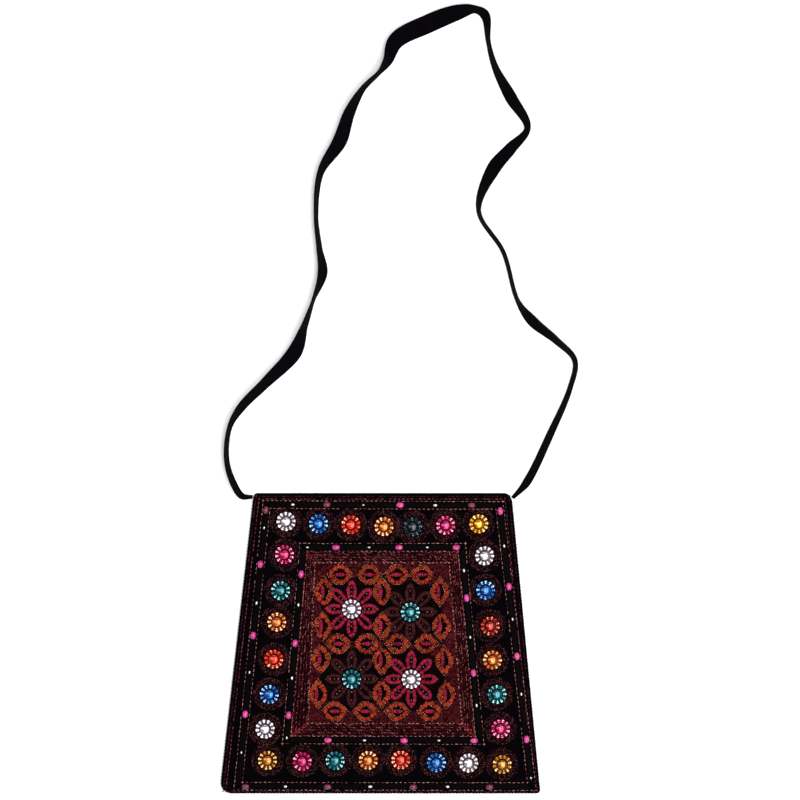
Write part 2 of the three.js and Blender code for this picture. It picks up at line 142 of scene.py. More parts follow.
def board(top, bottom, uv):
    """Closes an upper and a lower grid of points, and the rim between them, into one body."""
    columns, rows = top.shape[:2]
    index = np.arange(columns * rows).reshape(columns, rows)
    a, b, c, d = index[:-1, :-1], index[1:, :-1], index[1:, 1:], index[:-1, 1:]
    upper = np.stack([a, b, c, d], -1).reshape(-1, 4)
    lower = np.stack([a, d, c, b], -1).reshape(-1, 4) + columns * rows
    loop = np.concatenate([index[:-1, 0], index[-1, :-1], index[:0:-1, -1], index[0, :0:-1]])
    ahead = np.roll(loop, -1)
    under = columns * rows
    rim = np.stack([loop + under, ahead + under, ahead, loop], -1)
    faces = np.concatenate([upper, lower, rim])
    points = np.concatenate([top.reshape(-1, 3), bottom.reshape(-1, 3)])
    flat_uv = np.concatenate([uv.reshape(-1, 2), uv.reshape(-1, 2)])
    return points, faces, flat_uv[faces.ravel()]


def set_attribute(mesh, name, values, kind="FLOAT"):
    """Gives each point of a mesh a named value or vector."""
    attribute = mesh.attributes.new(name, kind, "POINT")
    key = "value" if kind == "FLOAT" else "vector"
    attribute.data.foreach_set(key, np.asarray(values, float).ravel())


def keep(piece, node, slot_name, *materials):
    """Finishes a piece: its materials and the part's node that it stands for, which it hides. slot_name, the
    part's material slot, is not used.
    """
    for material in materials:
        if material.name not in piece.data.materials:
            piece.data.materials.append(material)
    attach(piece, "root")
    if node:
        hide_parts(node)
    return piece


# %% [markdown]
# ## Shared finishes
# Cloth, tape and ribbon are woven, and each stitch is a twisted thread. Each of these effects is one node
# group, built once and fed with its own sizes in every material. A group only puts out heights and masks.
# The shader stays in the material, where the export can read it.

# %% Node helpers
def place(tree, kind, feeds=None, **settings):
    """Adds a node. feeds sets its inputs by name or number, to a value or from another node's socket."""
    node = tree.nodes.new(kind)
    for key, value in settings.items():
        setattr(node, key, value)
    for key, value in (feeds or {}).items():
        if isinstance(value, bpy.types.NodeSocket):
            tree.links.new(value, node.inputs[key])
        else:
            node.inputs[key].default_value = value
    return node


def math_node(tree, operation, first, second=0.0, third=0.0, clamp=False):
    feeds = {0: first, 1: second, 2: third}
    return place(tree, "ShaderNodeMath", feeds, operation=operation, use_clamp=clamp).outputs[0]


def new_group(name, inputs, outputs, kind="ShaderNodeTree"):
    """A node group. inputs has name: (socket type, default), outputs has name: socket type."""
    group = bpy.data.node_groups.new(name, kind)
    for key, (socket_kind, default) in inputs.items():
        socket = group.interface.new_socket(name=key, in_out="INPUT", socket_type=socket_kind)
        if default is not None:
            socket.default_value = default
    for key, socket_kind in outputs.items():
        group.interface.new_socket(name=key, in_out="OUTPUT", socket_type=socket_kind)
    return group, group.nodes.new("NodeGroupInput"), group.nodes.new("NodeGroupOutput")


def new_material(name, colour, **sockets):
    """A material with its shader's plain values set on the shader itself."""
    material = bpy.data.materials.new(name)
    material.use_nodes = True
    shader = material.node_tree.nodes["Principled BSDF"]
    shader.inputs["Base Color"].default_value = colour
    material.diffuse_color = colour
    for key, value in sockets.items():
        shader.inputs[key.replace("_", " ").replace("Ior", "IOR")].default_value = value
    return material, material.node_tree, shader


def use_group(tree, group, feeds):
    return place(tree, "ShaderNodeGroup", feeds, node_tree=group)


def mix_colours(tree, share, first, second):
    return place(tree, "ShaderNodeMix", {0: share, 6: first, 7: second}, data_type="RGBA").outputs[2]


def pattern_place(tree, kind):
    """A point's place on the pattern: its own UV, or where it is on the object."""
    return place(tree, "ShaderNodeTexCoord").outputs[kind]


def stored(tree, name):
    """A value that the mesh keeps on its points."""
    return place(tree, "ShaderNodeAttribute", attribute_name=name).outputs["Fac"]


def raise_surface(tree, shader, height, distance, strength):
    """Shows a height from 0 to 1 as relief of a given depth."""
    bump = place(tree, "ShaderNodeBump", {"Height": height, "Distance": distance, "Strength": strength})
    tree.links.new(bump.outputs[0], shader.inputs["Normal"])


def span(tree, value, low, high, to_low=0.0, to_high=1.0):
    feeds = {"Value": value, "From Min": low, "From Max": high, "To Min": to_low, "To Max": to_high}
    return place(tree, "ShaderNodeMapRange", feeds, clamp=True).outputs[0]


# %% The plain weave: threads that pass over and under each other
def build_weave():
    inputs = {"Vector": ("NodeSocketVector", None), "Threads": ("NodeSocketFloat", 1000.0)}
    outputs = {"Height": "NodeSocketFloat", "Thread": "NodeSocketFloat"}
    group, enter, leave = new_group("Plain weave", inputs, outputs)
    feeds = {0: enter.outputs["Vector"], "Scale": enter.outputs["Threads"]}
    grown = place(group, "ShaderNodeVectorMath", feeds, operation="SCALE")
    parts = place(group, "ShaderNodeSeparateXYZ", {0: grown.outputs[0]})
    phases = [math_node(group, "MULTIPLY", parts.outputs[k], math.pi) for k in (0, 1)]
    waves = [math_node(group, "SINE", phase) for phase in phases]
    ridges = [math_node(group, "ABSOLUTE", wave) for wave in waves]
    over = math_node(group, "GREATER_THAN", math_node(group, "MULTIPLY", *waves), 0.0)
    feeds = {0: over, 2: ridges[0], 3: ridges[1]}
    height = place(group, "ShaderNodeMix", feeds, data_type="FLOAT").outputs[0]
    speckle = place(group, "ShaderNodeTexWhiteNoise", {"Vector": place(
        group, "ShaderNodeVectorMath", {0: grown.outputs[0]}, operation="FLOOR").outputs[0]})
    group.links.new(height, leave.inputs["Height"])
    group.links.new(speckle.outputs["Value"], leave.inputs["Thread"])
    return group


def build_twist():
    """Plies that wind round a thread, from its pattern place: along the thread first, round it second."""
    inputs = {"Vector": ("NodeSocketVector", None), "Turns": ("NodeSocketFloat", 4.0)}
    group, enter, leave = new_group("Twisted thread", inputs, {"Height": "NodeSocketFloat"})
    parts = place(group, "ShaderNodeSeparateXYZ", {0: enter.outputs["Vector"]})
    along = math_node(group, "MULTIPLY", parts.outputs[0], enter.outputs["Turns"])
    turn = math_node(group, "ADD", along, parts.outputs[1])
    ply = math_node(group, "ABSOLUTE", math_node(group, "SINE", math_node(group, "MULTIPLY", turn, math.pi)))
    group.links.new(ply, leave.inputs["Height"])
    return group


def build_wear():
    """Soft, uneven patches where hands and dust have dulled a surface."""
    inputs = {"Vector": ("NodeSocketVector", None), "Scale": ("NodeSocketFloat", 20.0)}
    group, enter, leave = new_group("Handling wear", inputs, {"Wear": "NodeSocketFloat"})
    feeds = {"Vector": enter.outputs["Vector"], "Scale": enter.outputs["Scale"]}
    feeds |= {"Detail": 4.0, "Roughness": 0.6}
    noise = place(group, "ShaderNodeTexNoise", feeds)
    group.links.new(span(group, noise.outputs["Fac"], 0.35, 0.7), leave.inputs["Wear"])
    return group


WEAVE, TWIST, WEAR = build_weave(), build_twist(), build_wear()
print("finish groups:", WEAVE.name, TWIST.name, WEAR.name)


# %% Woven and thread materials
def woven(name, colour, threads, coordinates, depth, roughness=0.9, ribs=1.0):
    """A woven cloth. threads is the count to the metre, ribs stretches the weave into ribs."""
    material, tree, shader = new_material(
        name, colour, Roughness=roughness, Specular_Ior_Level=0.01)
    source = pattern_place(tree, coordinates)
    stretched = place(tree, "ShaderNodeVectorMath", {0: source, 1: (1.0, ribs, 1.0)}, operation="MULTIPLY")
    weave = use_group(tree, WEAVE, {"Vector": stretched.outputs[0], "Threads": threads})
    wear = use_group(tree, WEAR, {"Vector": pattern_place(tree, "Object"), "Scale": 45.0})
    lighter = tuple(min(1.0, 1.8 * c + 0.0005) for c in colour[:3]) + (1.0,)
    uneven = math_node(tree, "MULTIPLY", weave.outputs["Thread"], 0.5)
    share = math_node(tree, "MULTIPLY_ADD", wear.outputs["Wear"], 0.5, uneven, clamp=True)
    tree.links.new(mix_colours(tree, share, colour, lighter), shader.inputs["Base Color"])
    tree.links.new(span(tree, wear.outputs["Wear"], 0, 1, roughness - 0.08, min(1, roughness + 0.06)),
                   shader.inputs["Roughness"])
    raise_surface(tree, shader, weave.outputs["Height"], depth, 0.8)
    return material


def thread(name, dark, light, turns=4.0, roughness=0.5, bias=1.0, gloss=0.06):
    """An embroidery thread. Each stitch has its own shade between dark and light, and a twist along it, with
    painted shade in the grooves between its plies.
    """
    material, tree, shader = new_material(
        name, light, Roughness=roughness, Specular_Ior_Level=gloss)
    shade = stored(tree, "shade")
    twist = use_group(tree, TWIST, {"Vector": pattern_place(tree, "UV"), "Turns": turns})
    leaning = math_node(tree, "POWER", shade, bias)
    # Painted shade: the colour is darker in the grooves between the twist's plies.
    painted_groove_shade = span(tree, twist.outputs["Height"], 0, 0.5, 0.75, 1.0)
    share = math_node(tree, "MULTIPLY", leaning, painted_groove_shade)
    tree.links.new(mix_colours(tree, share, dark, light), shader.inputs["Base Color"])
    tree.links.new(span(tree, shade, 0, 1, roughness + 0.15, roughness - 0.1), shader.inputs["Roughness"])
    raise_surface(tree, shader, twist.outputs["Height"], 0.08 * MM, 0.7)
    return material


BLACK = srgb(3, 2, 4)
tape_black = woven("tape", srgb(3, 2, 4), 900, "UV", 0.12 * MM, ribs=0.45)
print("made", tape_black.name)

# %% [markdown]
# ## Strap
# The strap is a flat tape, 15 mm wide, sewn to the two corners of the mouth. On the surface it leans on its
# edge in most places and turns flat in a few, so it looks thin here and broad there. Its route is a list of
# points, each with how far the tape leans and how far its end is pinched. A section of the
# tape is swept along the route.

# %% Strap route
STRAP_WIDTH = 15 * MM
STRAP_THICKNESS = 1.2 * MM
# Millimetres along x and y, degrees of lean from flat, and the share of the width that a pinch leaves
STRAP_ROUTE = [
    (-101.8, 116.9, 78, 0.3), (-110.2, 117.6, 68, 0.7), (-117.2, 128.4, 74, 1), (-122.4, 147, 79, 1),
    (-119.8, 173, 80, 1), (-110.5, 188.8, 66, 1), (-91.5, 208, 60, 1), (-68.5, 232.2, 38, 1),
    (-60.6, 252.5, 72, 1), (-53, 274.5, 86, 1), (-45.8, 296, 60, 1), (-48.4, 316, 76, 1),
    (-51, 342, 81, 1), (-47.4, 376, 74, 1), (-32, 401.5, 42, 1), (-24.5, 423.5, 56, 1),
    (-13.5, 443, 78, 1), (-0.5, 456, 83, 1), (6, 465, 64, 1), (12.8, 481.4, 34, 1),
    (38, 495, 4, 1), (62, 504, 40, 1), (76, 506.2, 75, 1), (84, 501.5, 64, 1),
    (86.6, 480, 82, 1), (92, 460, 75, 1), (104.5, 436, 54, 1), (117.8, 411.6, 76, 1),
    (104.5, 395.4, 52, 1), (90.6, 379, 42, 1), (78.8, 345.5, 82, 1), (98.5, 312.5, 82, 1),
    (110, 273.5, 82, 1), (121.5, 257.6, 58, 1), (141, 241.6, 72, 1), (155.6, 226, 79, 1),
    (151.8, 204, 79, 1), (136.4, 168, 71, 1), (117, 128.4, 68, 1), (106, 116, 78, 0.3),
]
STEPS_PER_POINT = 12
print(len(STRAP_ROUTE), "points on the strap's route")


def smooth_route(points, steps):
    """A smooth curve through points, drawn tighter where they crowd, with so many steps to the next."""
    points = np.asarray(points, float)
    padded = np.concatenate([[2 * points[0] - points[1]], points, [2 * points[-1] - points[-2]]])
    result = []
    for i in range(len(points) - 1):
        p0, p1, p2, p3 = padded[i:i + 4]
        gaps = [max(np.linalg.norm(b - a) ** 0.5, 1e-6) for a, b in ((p0, p1), (p1, p2), (p2, p3))]
        leave = ((p1 - p0) / gaps[0] - (p2 - p0) / (gaps[0] + gaps[1]) + (p2 - p1) / gaps[1]) * gaps[1]
        arrive = ((p2 - p1) / gaps[1] - (p3 - p1) / (gaps[1] + gaps[2]) + (p3 - p2) / gaps[2]) * gaps[1]
        for t in np.arange(steps) / steps:
            result.append(p1 + leave * t + (3 * (p2 - p1) - 2 * leave - arrive) * t ** 2
                          + (2 * (p1 - p2) + leave + arrive) * t ** 3)
    result.append(points[-1])
    return np.array(result)


route = np.array(STRAP_ROUTE, float)
strap_line = smooth_route(route[:, :2] * MM, STEPS_PER_POINT)
row = np.arange(len(strap_line)) / STEPS_PER_POINT
strap_lean = np.radians(np.interp(row, np.arange(len(route)), route[:, 2]))
strap_pinch = np.interp(row, np.arange(len(route)), route[:, 3])
# The lean eases from point to point instead of changing its pace there.
ease = np.hanning(2 * STEPS_PER_POINT // 3 + 1)
half_ease = len(ease) // 2
strap_lean = np.convolve(np.pad(strap_lean, half_ease, mode="edge"), ease / ease.sum(), "valid")


# %% Strap tape
def tape_section():
    """Half widths and heights round the tape's section, as shares: a thin middle, a rounded, corded edge."""
    across = [1.0, 0.985, 0.94, 0.86, 0.6, 0.3, 0.0, -0.3, -0.6, -0.86, -0.94, -0.985, -1.0]
    tall = [0.35, 0.8, 1.0, 0.82, 0.74, 0.72, 0.72, 0.72, 0.74, 0.82, 1.0, 0.8, 0.35]
    upper = list(zip(across, tall))
    lower = [(a, -t) for a, t in reversed(upper)]
    return np.array(upper + lower)


def build_strap():
    section = tape_section()
    heading = np.gradient(strap_line, axis=0)
    heading /= np.linalg.norm(heading, axis=1)[:, None]
    sideways = np.stack([-heading[:, 1], heading[:, 0], np.zeros(len(heading))], 1)
    up = np.array([0.0, 0.0, 1.0])
    cos, sin = np.cos(strap_lean)[:, None], np.sin(strap_lean)[:, None]
    width_way = sideways * cos + up * sin
    thick_way = -sideways * sin + up * cos
    half_width = STRAP_WIDTH / 2 * strap_pinch[:, None]
    half_thick = STRAP_THICKNESS / 2 * (2 - strap_pinch)[:, None]
    rest = half_width * sin + half_thick * cos
    middle = np.concatenate([strap_line, rest], 1)
    rings = (middle[:, None, :] + section[None, :, :1] * (half_width * width_way)[:, None, :]
             + section[None, :, 1:] * (half_thick * thick_way)[:, None, :])
    travel = np.concatenate([[0], np.cumsum(np.linalg.norm(np.diff(middle, axis=0), axis=1))])
    around = np.concatenate([section[:, 0], section[:1, 0]]) * STRAP_WIDTH / 2
    ring_uv = np.stack(np.broadcast_arrays(travel[:, None], around[None, :]), -1)
    return new_object("strap_tape", *skin(rings, ring_uv)), middle, travel[-1]


strap, strap_middle, strap_length = build_strap()
keep(strap, "strap", "tape", tape_black)
print("strap length", round(strap_length, 3), "m in", len(strap_middle), "steps")

# %% [markdown]
# ## The pouch's shape
# Every piece on the front rests on the same swollen surface, so that surface is a formula. The pocket rises
# from nothing at the side seams and the bottom to 9 mm in the middle, stays a little flatter at the mouth,
# and has a few shallow slumps. The walls are cut narrower towards the mouth, with rounded corners.

# %% Pouch sizes and surface
POUCH_HEIGHT = 240 * MM
BOTTOM_WIDTH = 256.5 * MM
MOUTH_WIDTH = 206 * MM
MOUTH_SHIFT = 2.1 * MM
BOTTOM_CORNERS = {-1: 9.5 * MM, 1: 3 * MM}
MOUTH_CORNERS = {-1: 3 * MM, 1: 6 * MM}
BACK_WALL = 1.6 * MM
FRONT_WALL = 1.8 * MM
BACK_RIM = 1.5 * MM
PIECE_GAP = 0.3 * MM
POCKET_DEPTH = 9 * MM
FRONT_TOP = POUCH_HEIGHT / 2 - BACK_RIM
# Slumps in the front: across and up as shares, their spread, and the share of the rise that they take away
FRONT_DENTS = [
    (-0.42, 0.16, 0.34, 0.16), (0.3, 0.12, 0.28, 0.12), (-0.55, 0.86, 0.3, 0.1), (0.5, 0.7, 0.36, 0.1),
    (0.02, 0.5, 0.4, -0.05),
]


def up_share(y):
    return (y + POUCH_HEIGHT / 2) / POUCH_HEIGHT


def side_edge(side, y):
    """Where the slanting side edge is at a height. side is -1 on the left and 1 on the right."""
    half_width = (BOTTOM_WIDTH + (MOUTH_WIDTH - BOTTOM_WIDTH) * up_share(y)) / 2
    return MOUTH_SHIFT * up_share(y) + side * half_width


def rounded_edge(side, y, top):
    """The side edge of a wall whose upper edge is at top, with its rounded corners."""
    inset = np.zeros_like(y)
    for radius, away in ((BOTTOM_CORNERS[side], y + POUCH_HEIGHT / 2), (MOUTH_CORNERS[side], top - y)):
        inside = np.clip(radius - away, 0, radius)
        inset = np.maximum(inset, radius - np.sqrt(radius ** 2 - inside ** 2))
    return side_edge(side, y) - side * inset


def front_surface(x, y):
    """The upper face of the front wall, before the cloth's own small relief."""
    x, y = np.asarray(x, float), np.asarray(y, float)
    left, right = rounded_edge(-1, y, FRONT_TOP), rounded_edge(1, y, FRONT_TOP)
    across = np.clip((2 * x - left - right) / (right - left), -1, 1)
    up = np.clip(up_share(y), 0, 1)
    dent = sum(depth * np.exp(-((across - a) ** 2 + 4 * (up - u) ** 2) / spread ** 2)
               for a, u, spread, depth in FRONT_DENTS)
    rise = POCKET_DEPTH * (1 - np.abs(across) ** 3) * (1 - (1 - up) ** 5) * (1 - 0.22 * up ** 3) * (1 - dent)
    return BACK_WALL + PIECE_GAP + rise + FRONT_WALL


print("front rises to", round(float(front_surface(0.0, 0.0)) / MM, 2), "mm")

# %% [markdown]
# ## Where the embroidery goes
# The border, the ribbons and the embroidered square are laid out with frames: four corners, each set in
# from the mouth or bottom edge and from the slanting side. The square's own corners and the places of its
# motifs are short lists, because the maker drew them by eye and no two sit quite alike.

# %% Frames and the square's corners
RIBBON_WIDTH = 4.8 * MM
RIBBON_THICKNESS = 0.7 * MM
# Insets in millimetres from the side edge and from the mouth or bottom edge, for the mouth's left and right
# corners and the bottom's right and left corners
OUTER_RIBBON = ((11.4, 9.0), (10.6, 9.8), (6.4, 5.5), (14.2, 5.8))
INNER_RIBBON = ((44.88, 43.12), (44.0, 43.12), (44.44, 42.68), (48.84, 43.12))
CORNER_SIDES = ((-1, 1), (1, 1), (1, -1), (-1, -1))


def frame_corners(insets, grow=0.0):
    """The four corners of a frame, mouth left first and then clockwise. grow moves each one outwards."""
    corners = []
    for (side, up), (across, along) in zip(CORNER_SIDES, insets):
        y = up * (POUCH_HEIGHT / 2 - along * MM + grow)
        x = side_edge(side, up * (POUCH_HEIGHT / 2 - along * MM)) - side * (across * MM - grow)
        corners.append((x, y))
    return np.array(corners)


def shrink(corners, inset):
    """A quadrilateral with all its sides moved inwards by the same width."""
    corners = np.asarray(corners, float)
    moved = []
    for k in range(4):
        here, before, after = corners[k], corners[k - 1], corners[(k + 1) % 4]
        u, v = (here - before), (after - here)
        u, v = u / np.linalg.norm(u), v / np.linalg.norm(v)
        # The corners run clockwise, so the inside is on the right of each side.
        inward_u, inward_v = np.array([u[1], -u[0]]), np.array([v[1], -v[0]])
        turn = inward_u + inward_v
        moved.append(here + turn * inset / (turn @ inward_u))
    return np.array(moved)


SQUARE_OUTER = np.array([(-58.8, 73.6), (62.9, 74.0), (76.2, -74.7), (-71.8, -74.4)]) * MM
FIELD_EDGE = np.array([(-51.7, 64.6), (55.2, 64.6), (65.4, -63.6), (-57.3, -63.6)]) * MM


def inside_distance(corners, x, y):
    """How far inside a clockwise quadrilateral a place is, and less than nothing outside it."""
    depth = np.full(np.shape(x), np.inf)
    for k in range(len(corners)):
        (ax, ay), (bx, by) = corners[k], corners[(k + 1) % len(corners)]
        length = math.hypot(bx - ax, by - ay)
        depth = np.minimum(depth, ((by - ay) * (x - ax) - (bx - ax) * (y - ay)) / length)
    return depth


print("outer ribbon's corners in mm:", np.round(frame_corners(OUTER_RIBBON) / MM, 1).tolist())


# %% Places of the square's motifs
# Centres in millimetres. Lying rings point left and right, standing rings point up and down.
LYING_RINGS = [
    (-32.0, 55.2), (-8.6, 55.2), (13.3, 55.2), (33.5, 55.2),
    (-32.9, 0.1), (-10.3, 0.1), (14.2, 0.1), (36.9, 0.1),
    (-35.9, -53.9), (-11.5, -53.9), (13.8, -53.9), (39.5, -53.9),
]
STANDING_RINGS = [
    (-44.5, 41.5), (-45.7, 14.2), (-47.0, -11.8), (-49.4, -40.0),
    (1.7, 41.5), (1.8, 14.2), (1.8, -13.2), (1.3, -39.7),
    (47.8, 41.5), (49.2, 13.8), (51.2, -13.2), (53.1, -40.5),
]
FLOWERS = [(-21.7, 27.3, "crimson"), (24.9, 26.1, "brown"), (-22.6, -28.6, "brown"), (25.4, -28.9, "crimson")]
FLOWER_GROUND = 25 * MM
GROUND_MARGIN = 0.9
# A ring's tips move further than its sides when its outline is set out or in.
TIP_GROWTH = 1.35
# Half length and half width of a ring's outer edge in millimetres, the share of its length that is blunt,
# and the roundness of its shoulders
RING_SHAPES = {"lying": (10.0, 7.6, 0.22, 1.35), "standing": (11.5, 7.2, 0.1, 1.4)}


def pointed_width(along, kind, grow=0.0):
    """Half width of a pointed ring at a distance from its middle, along its length."""
    half_long, half_short, blunt, roundness = RING_SHAPES[kind]
    half_long, half_short = half_long + TIP_GROWTH * grow, half_short + grow
    share = np.clip((np.abs(along) / half_long - blunt) / (1 - blunt), 0, 1)
    return half_short * (1 - share ** roundness)


def black_ground(x, y):
    """How far inside the black ground round the flowers and rings a place is."""
    depth = np.full(np.shape(x), -np.inf)
    for fx, fy, _ in FLOWERS:
        depth = np.maximum(depth, FLOWER_GROUND - np.hypot(x - fx * MM, y - fy * MM))
    for rings, kind in ((LYING_RINGS, "lying"), (STANDING_RINGS, "standing")):
        for rx, ry in rings:
            dx, dy = np.abs(x / MM - rx), np.abs(y / MM - ry)
            long_way, short_way = (dx, dy) if kind == "lying" else (dy, dx)
            inside = pointed_width(long_way, kind, GROUND_MARGIN) - short_way
            depth = np.maximum(depth, np.where(long_way < 16, inside, -5) * MM)
    return depth


print(len(LYING_RINGS) + len(STANDING_RINGS), "rings and", len(FLOWERS), "flowers")

# %% [markdown]
# ## Front cloth
# The front is one stiff wall of black cotton with a maroon square sewn on. Stitching draws it in along its
# lines, so it is gently uneven. The wall is a board of two fine grids whose edges are rolled over. Three
# values on its points say how far inside the square, the field and the black ground each point is, and the
# material turns them into crisp edges, which a pattern painted by the grid's own cells couldn't have.

# %% The cloth's own relief
SQUARE_RISE = 0.22 * MM
HEM_WIDTH = 5 * MM
HEM_RISE = 0.15 * MM


def ease_in(value, width):
    share = np.clip(value / width, 0, 1)
    return share * share * (3 - 2 * share)


def cloth_relief(x, y):
    """Small rises and puckers of the front: uneven cloth, the sewn-on square and the hem at the mouth."""
    waves = (np.sin(x / (9 * MM) + 0.7) * np.sin(y / (11 * MM) + 1.9) + np.sin((x + y) / (17 * MM))
             + 0.6 * np.sin(x / (4.3 * MM) + 2) * np.sin(y / (5.1 * MM)))
    step = SQUARE_RISE * ease_in(inside_distance(SQUARE_OUTER, x, y) + 0.5 * MM, 1 * MM)
    hem = HEM_RISE * ease_in(y - (FRONT_TOP - HEM_WIDTH), 0.6 * MM)
    return 0.035 * MM * waves + step + hem


def cloth_top(x, y):
    x, y = np.asarray(x, float), np.asarray(y, float)
    return front_surface(x, y) + cloth_relief(x, y)


def surface_normal(x, y, step=1.0 * MM):
    slope_x = (cloth_top(x + step, y) - cloth_top(x - step, y)) / (2 * step)
    slope_y = (cloth_top(x, y + step) - cloth_top(x, y - step)) / (2 * step)
    normal = np.stack([-slope_x, -slope_y, np.ones_like(slope_x)], -1)
    return normal / np.linalg.norm(normal, axis=-1)[..., None]


print("the front's middle lies", round(float(cloth_top(0.0, 0.0)) / MM, 2), "mm up")

# %% Cloth walls
EDGE_LINES = np.array([0, 0.1, 0.3, 0.6, 1.0, 1.6, 2.4]) * MM
EDGE_ROLL = 0.8 * MM


def grid_shares(length, cell):
    """Shares of a length: close together at both ends, where the edge rolls over, and even between."""
    inner = np.linspace(EDGE_LINES[-1], length - EDGE_LINES[-1], max(2, int(length / cell)))[1:-1]
    return np.concatenate([EDGE_LINES, inner, length - EDGE_LINES[::-1]]) / length


def wall_grid(top, cell):
    across, up = grid_shares(BOTTOM_WIDTH, cell), grid_shares(POUCH_HEIGHT, cell)
    y = np.broadcast_to(-POUCH_HEIGHT / 2 + up[None, :] * (top + POUCH_HEIGHT / 2), (len(across), len(up)))
    left, right = rounded_edge(-1, y, top), rounded_edge(1, y, top)
    x = left + (right - left) * across[:, None]
    side_away = np.minimum(across[:, None], 1 - across[:, None]) * (right - left)
    away = np.minimum(side_away, np.minimum(y + POUCH_HEIGHT / 2, top - y))
    inside = np.clip(EDGE_ROLL - away, 0, EDGE_ROLL)
    roll = EDGE_ROLL - np.sqrt(EDGE_ROLL ** 2 - inside ** 2)
    return x, y, roll


def build_wall(name, top, cell, underside, topside):
    x, y, roll = wall_grid(top, cell)
    upper = np.stack([x, y, topside(x, y) - roll], -1)
    lower = np.stack([x, y, underside(x, y) + roll], -1)
    uv = np.stack([x, y], -1)
    return new_object(name, *board(upper, lower, uv))


front = build_wall("front_cloth", FRONT_TOP, 1.6 * MM,
                   lambda x, y: front_surface(x, y) - FRONT_WALL, cloth_top)
points = np.array([v.co for v in front.data.vertices])
for value_name, depth in (
    ("square", inside_distance(SQUARE_OUTER, points[:, 0], points[:, 1])),
    ("field", inside_distance(FIELD_EDGE, points[:, 0], points[:, 1])),
    ("ground", black_ground(points[:, 0], points[:, 1])),
):
    set_attribute(front.data, value_name, depth / MM)
back = build_wall("back_cloth", POUCH_HEIGHT / 2, 4 * MM, lambda x, y: 0 * x, lambda x, y: 0 * x + BACK_WALL)
print("front points", len(front.data.vertices), "back points", len(back.data.vertices))

# %% Cloth finishes
COTTON_THREADS = 1500
BAND_GROUND = srgb(20, 2, 4)
FIELD_MAROON = srgb(44, 9, 13)
FIELD_THREADS = 1050
# Millimetres over which one colour gives way to the next, to each side of an edge
EDGE_BLUR = 0.15


def front_finish():
    """Black cotton, with the square's dark band, its maroon field and the black ground of its flowers."""
    material, tree, shader = new_material(
        "front cotton", BLACK, Roughness=0.92, Specular_Ior_Level=0.01)
    place_on = pattern_place(tree, "Object")
    weave = use_group(tree, WEAVE, {"Vector": place_on, "Threads": COTTON_THREADS})
    wear = use_group(tree, WEAR, {"Vector": place_on, "Scale": 60.0})

    def inside(value_name):
        return span(tree, stored(tree, value_name), -EDGE_BLUR, EDGE_BLUR)

    colour = BLACK
    for value_name, layer in (("square", BAND_GROUND), ("field", FIELD_MAROON), ("ground", srgb(7, 2, 3))):
        mask = inside(value_name)
        if value_name == "ground":
            mask = math_node(tree, "MULTIPLY", mask, inside("field"))
        colour = mix_colours(tree, mask, colour, layer)
    coarse = use_group(tree, WEAVE, {"Vector": place_on, "Threads": FIELD_THREADS})
    leaning = math_node(tree, "POWER", coarse.outputs["Thread"], 1.6)
    patchy = math_node(tree, "MULTIPLY_ADD", leaning, 2.3, 0.2)
    feeds = {0: inside("square"), 2: 1.0, 3: patchy}
    uneven = place(tree, "ShaderNodeMix", feeds, data_type="FLOAT").outputs[0]
    grain = math_node(tree, "MULTIPLY", uneven,
                      math_node(tree, "MULTIPLY_ADD", weave.outputs["Thread"], 0.9, 0.55))
    dull = math_node(tree, "MULTIPLY_ADD", wear.outputs["Wear"], 0.3, 0.85)
    strength = math_node(tree, "MULTIPLY", grain, dull)
    toned = place(tree, "ShaderNodeVectorMath", {0: colour, "Scale": strength}, operation="SCALE").outputs[0]
    tree.links.new(toned, shader.inputs["Base Color"])
    tree.links.new(span(tree, wear.outputs["Wear"], 0, 1, 0.85, 0.97), shader.inputs["Roughness"])
    raise_surface(tree, shader, weave.outputs["Height"], 0.1 * MM, 0.8)
    return material


keep(front, "front_panel", "embroidery", front_finish())
keep(back, "back_panel", "cloth", woven("back cotton", BLACK, COTTON_THREADS, "Object", 0.1 * MM))

# %% [markdown]
# ## Ribbons with barrel beads
# Two frames of narrow black satin ribbon run round the border and round the square. Pink barrel beads are
# sewn on them with their holes along the ribbon. Each side of a frame is one body: a mitred strip laid on
# the swollen front, with its beads joined on by a Boolean union.

# %% Ribbon and bead finishes
BEAD_LENGTH = 5.8 * MM
BEAD_WIDTH = 4.4 * MM
BEAD_SINK = 0.4 * MM
PUCKER_RISE = 0.06 * MM
PUCKER_PITCH = 3.9 * MM
# Bead places along each side as shares: left to right, or from the mouth down
OUTER_BEADS = {
    "top": (0.26, 0.573, 0.88), "bottom": (0.026, 0.305, 0.596, 0.856),
    "left": (0.02, 0.212, 0.464, 0.743), "right": (0.02, 0.288, 0.536, 0.831),
}
INNER_BEADS = {
    "top": (0.205, 0.604, 0.965), "bottom": (0.214, 0.608, 0.97),
    "left": (0.139, 0.497, 0.871), "right": (0.262, 0.649),
}


def satin_finish():
    material, tree, shader = new_material(
        "ribbon satin", srgb(3, 2, 3), Roughness=0.5, Specular_Ior_Level=0.01)
    weave = use_group(tree, WEAVE, {"Vector": pattern_place(tree, "UV"), "Threads": 2600.0})
    raise_surface(tree, shader, weave.outputs["Height"], 0.04 * MM, 0.6)
    tree.links.new(span(tree, weave.outputs["Thread"], 0, 1, 0.38, 0.55), shader.inputs["Roughness"])
    return material


def pearl_finish(name, deep, light):
    """Pearly glass: cloudy colour under a clear, glossy skin."""
    material, tree, shader = new_material(
        name, light, Roughness=0.28, Specular_Ior_Level=0.3, Coat_Weight=0.4, Coat_Roughness=0.08)
    place_on = pattern_place(tree, "Object")
    cloud = use_group(tree, WEAR, {"Vector": place_on, "Scale": 420.0})
    tree.links.new(mix_colours(tree, cloud.outputs["Wear"], deep, light), shader.inputs["Base Color"])
    tree.links.new(span(tree, cloud.outputs["Wear"], 0, 1, 0.2, 0.38), shader.inputs["Roughness"])
    return material


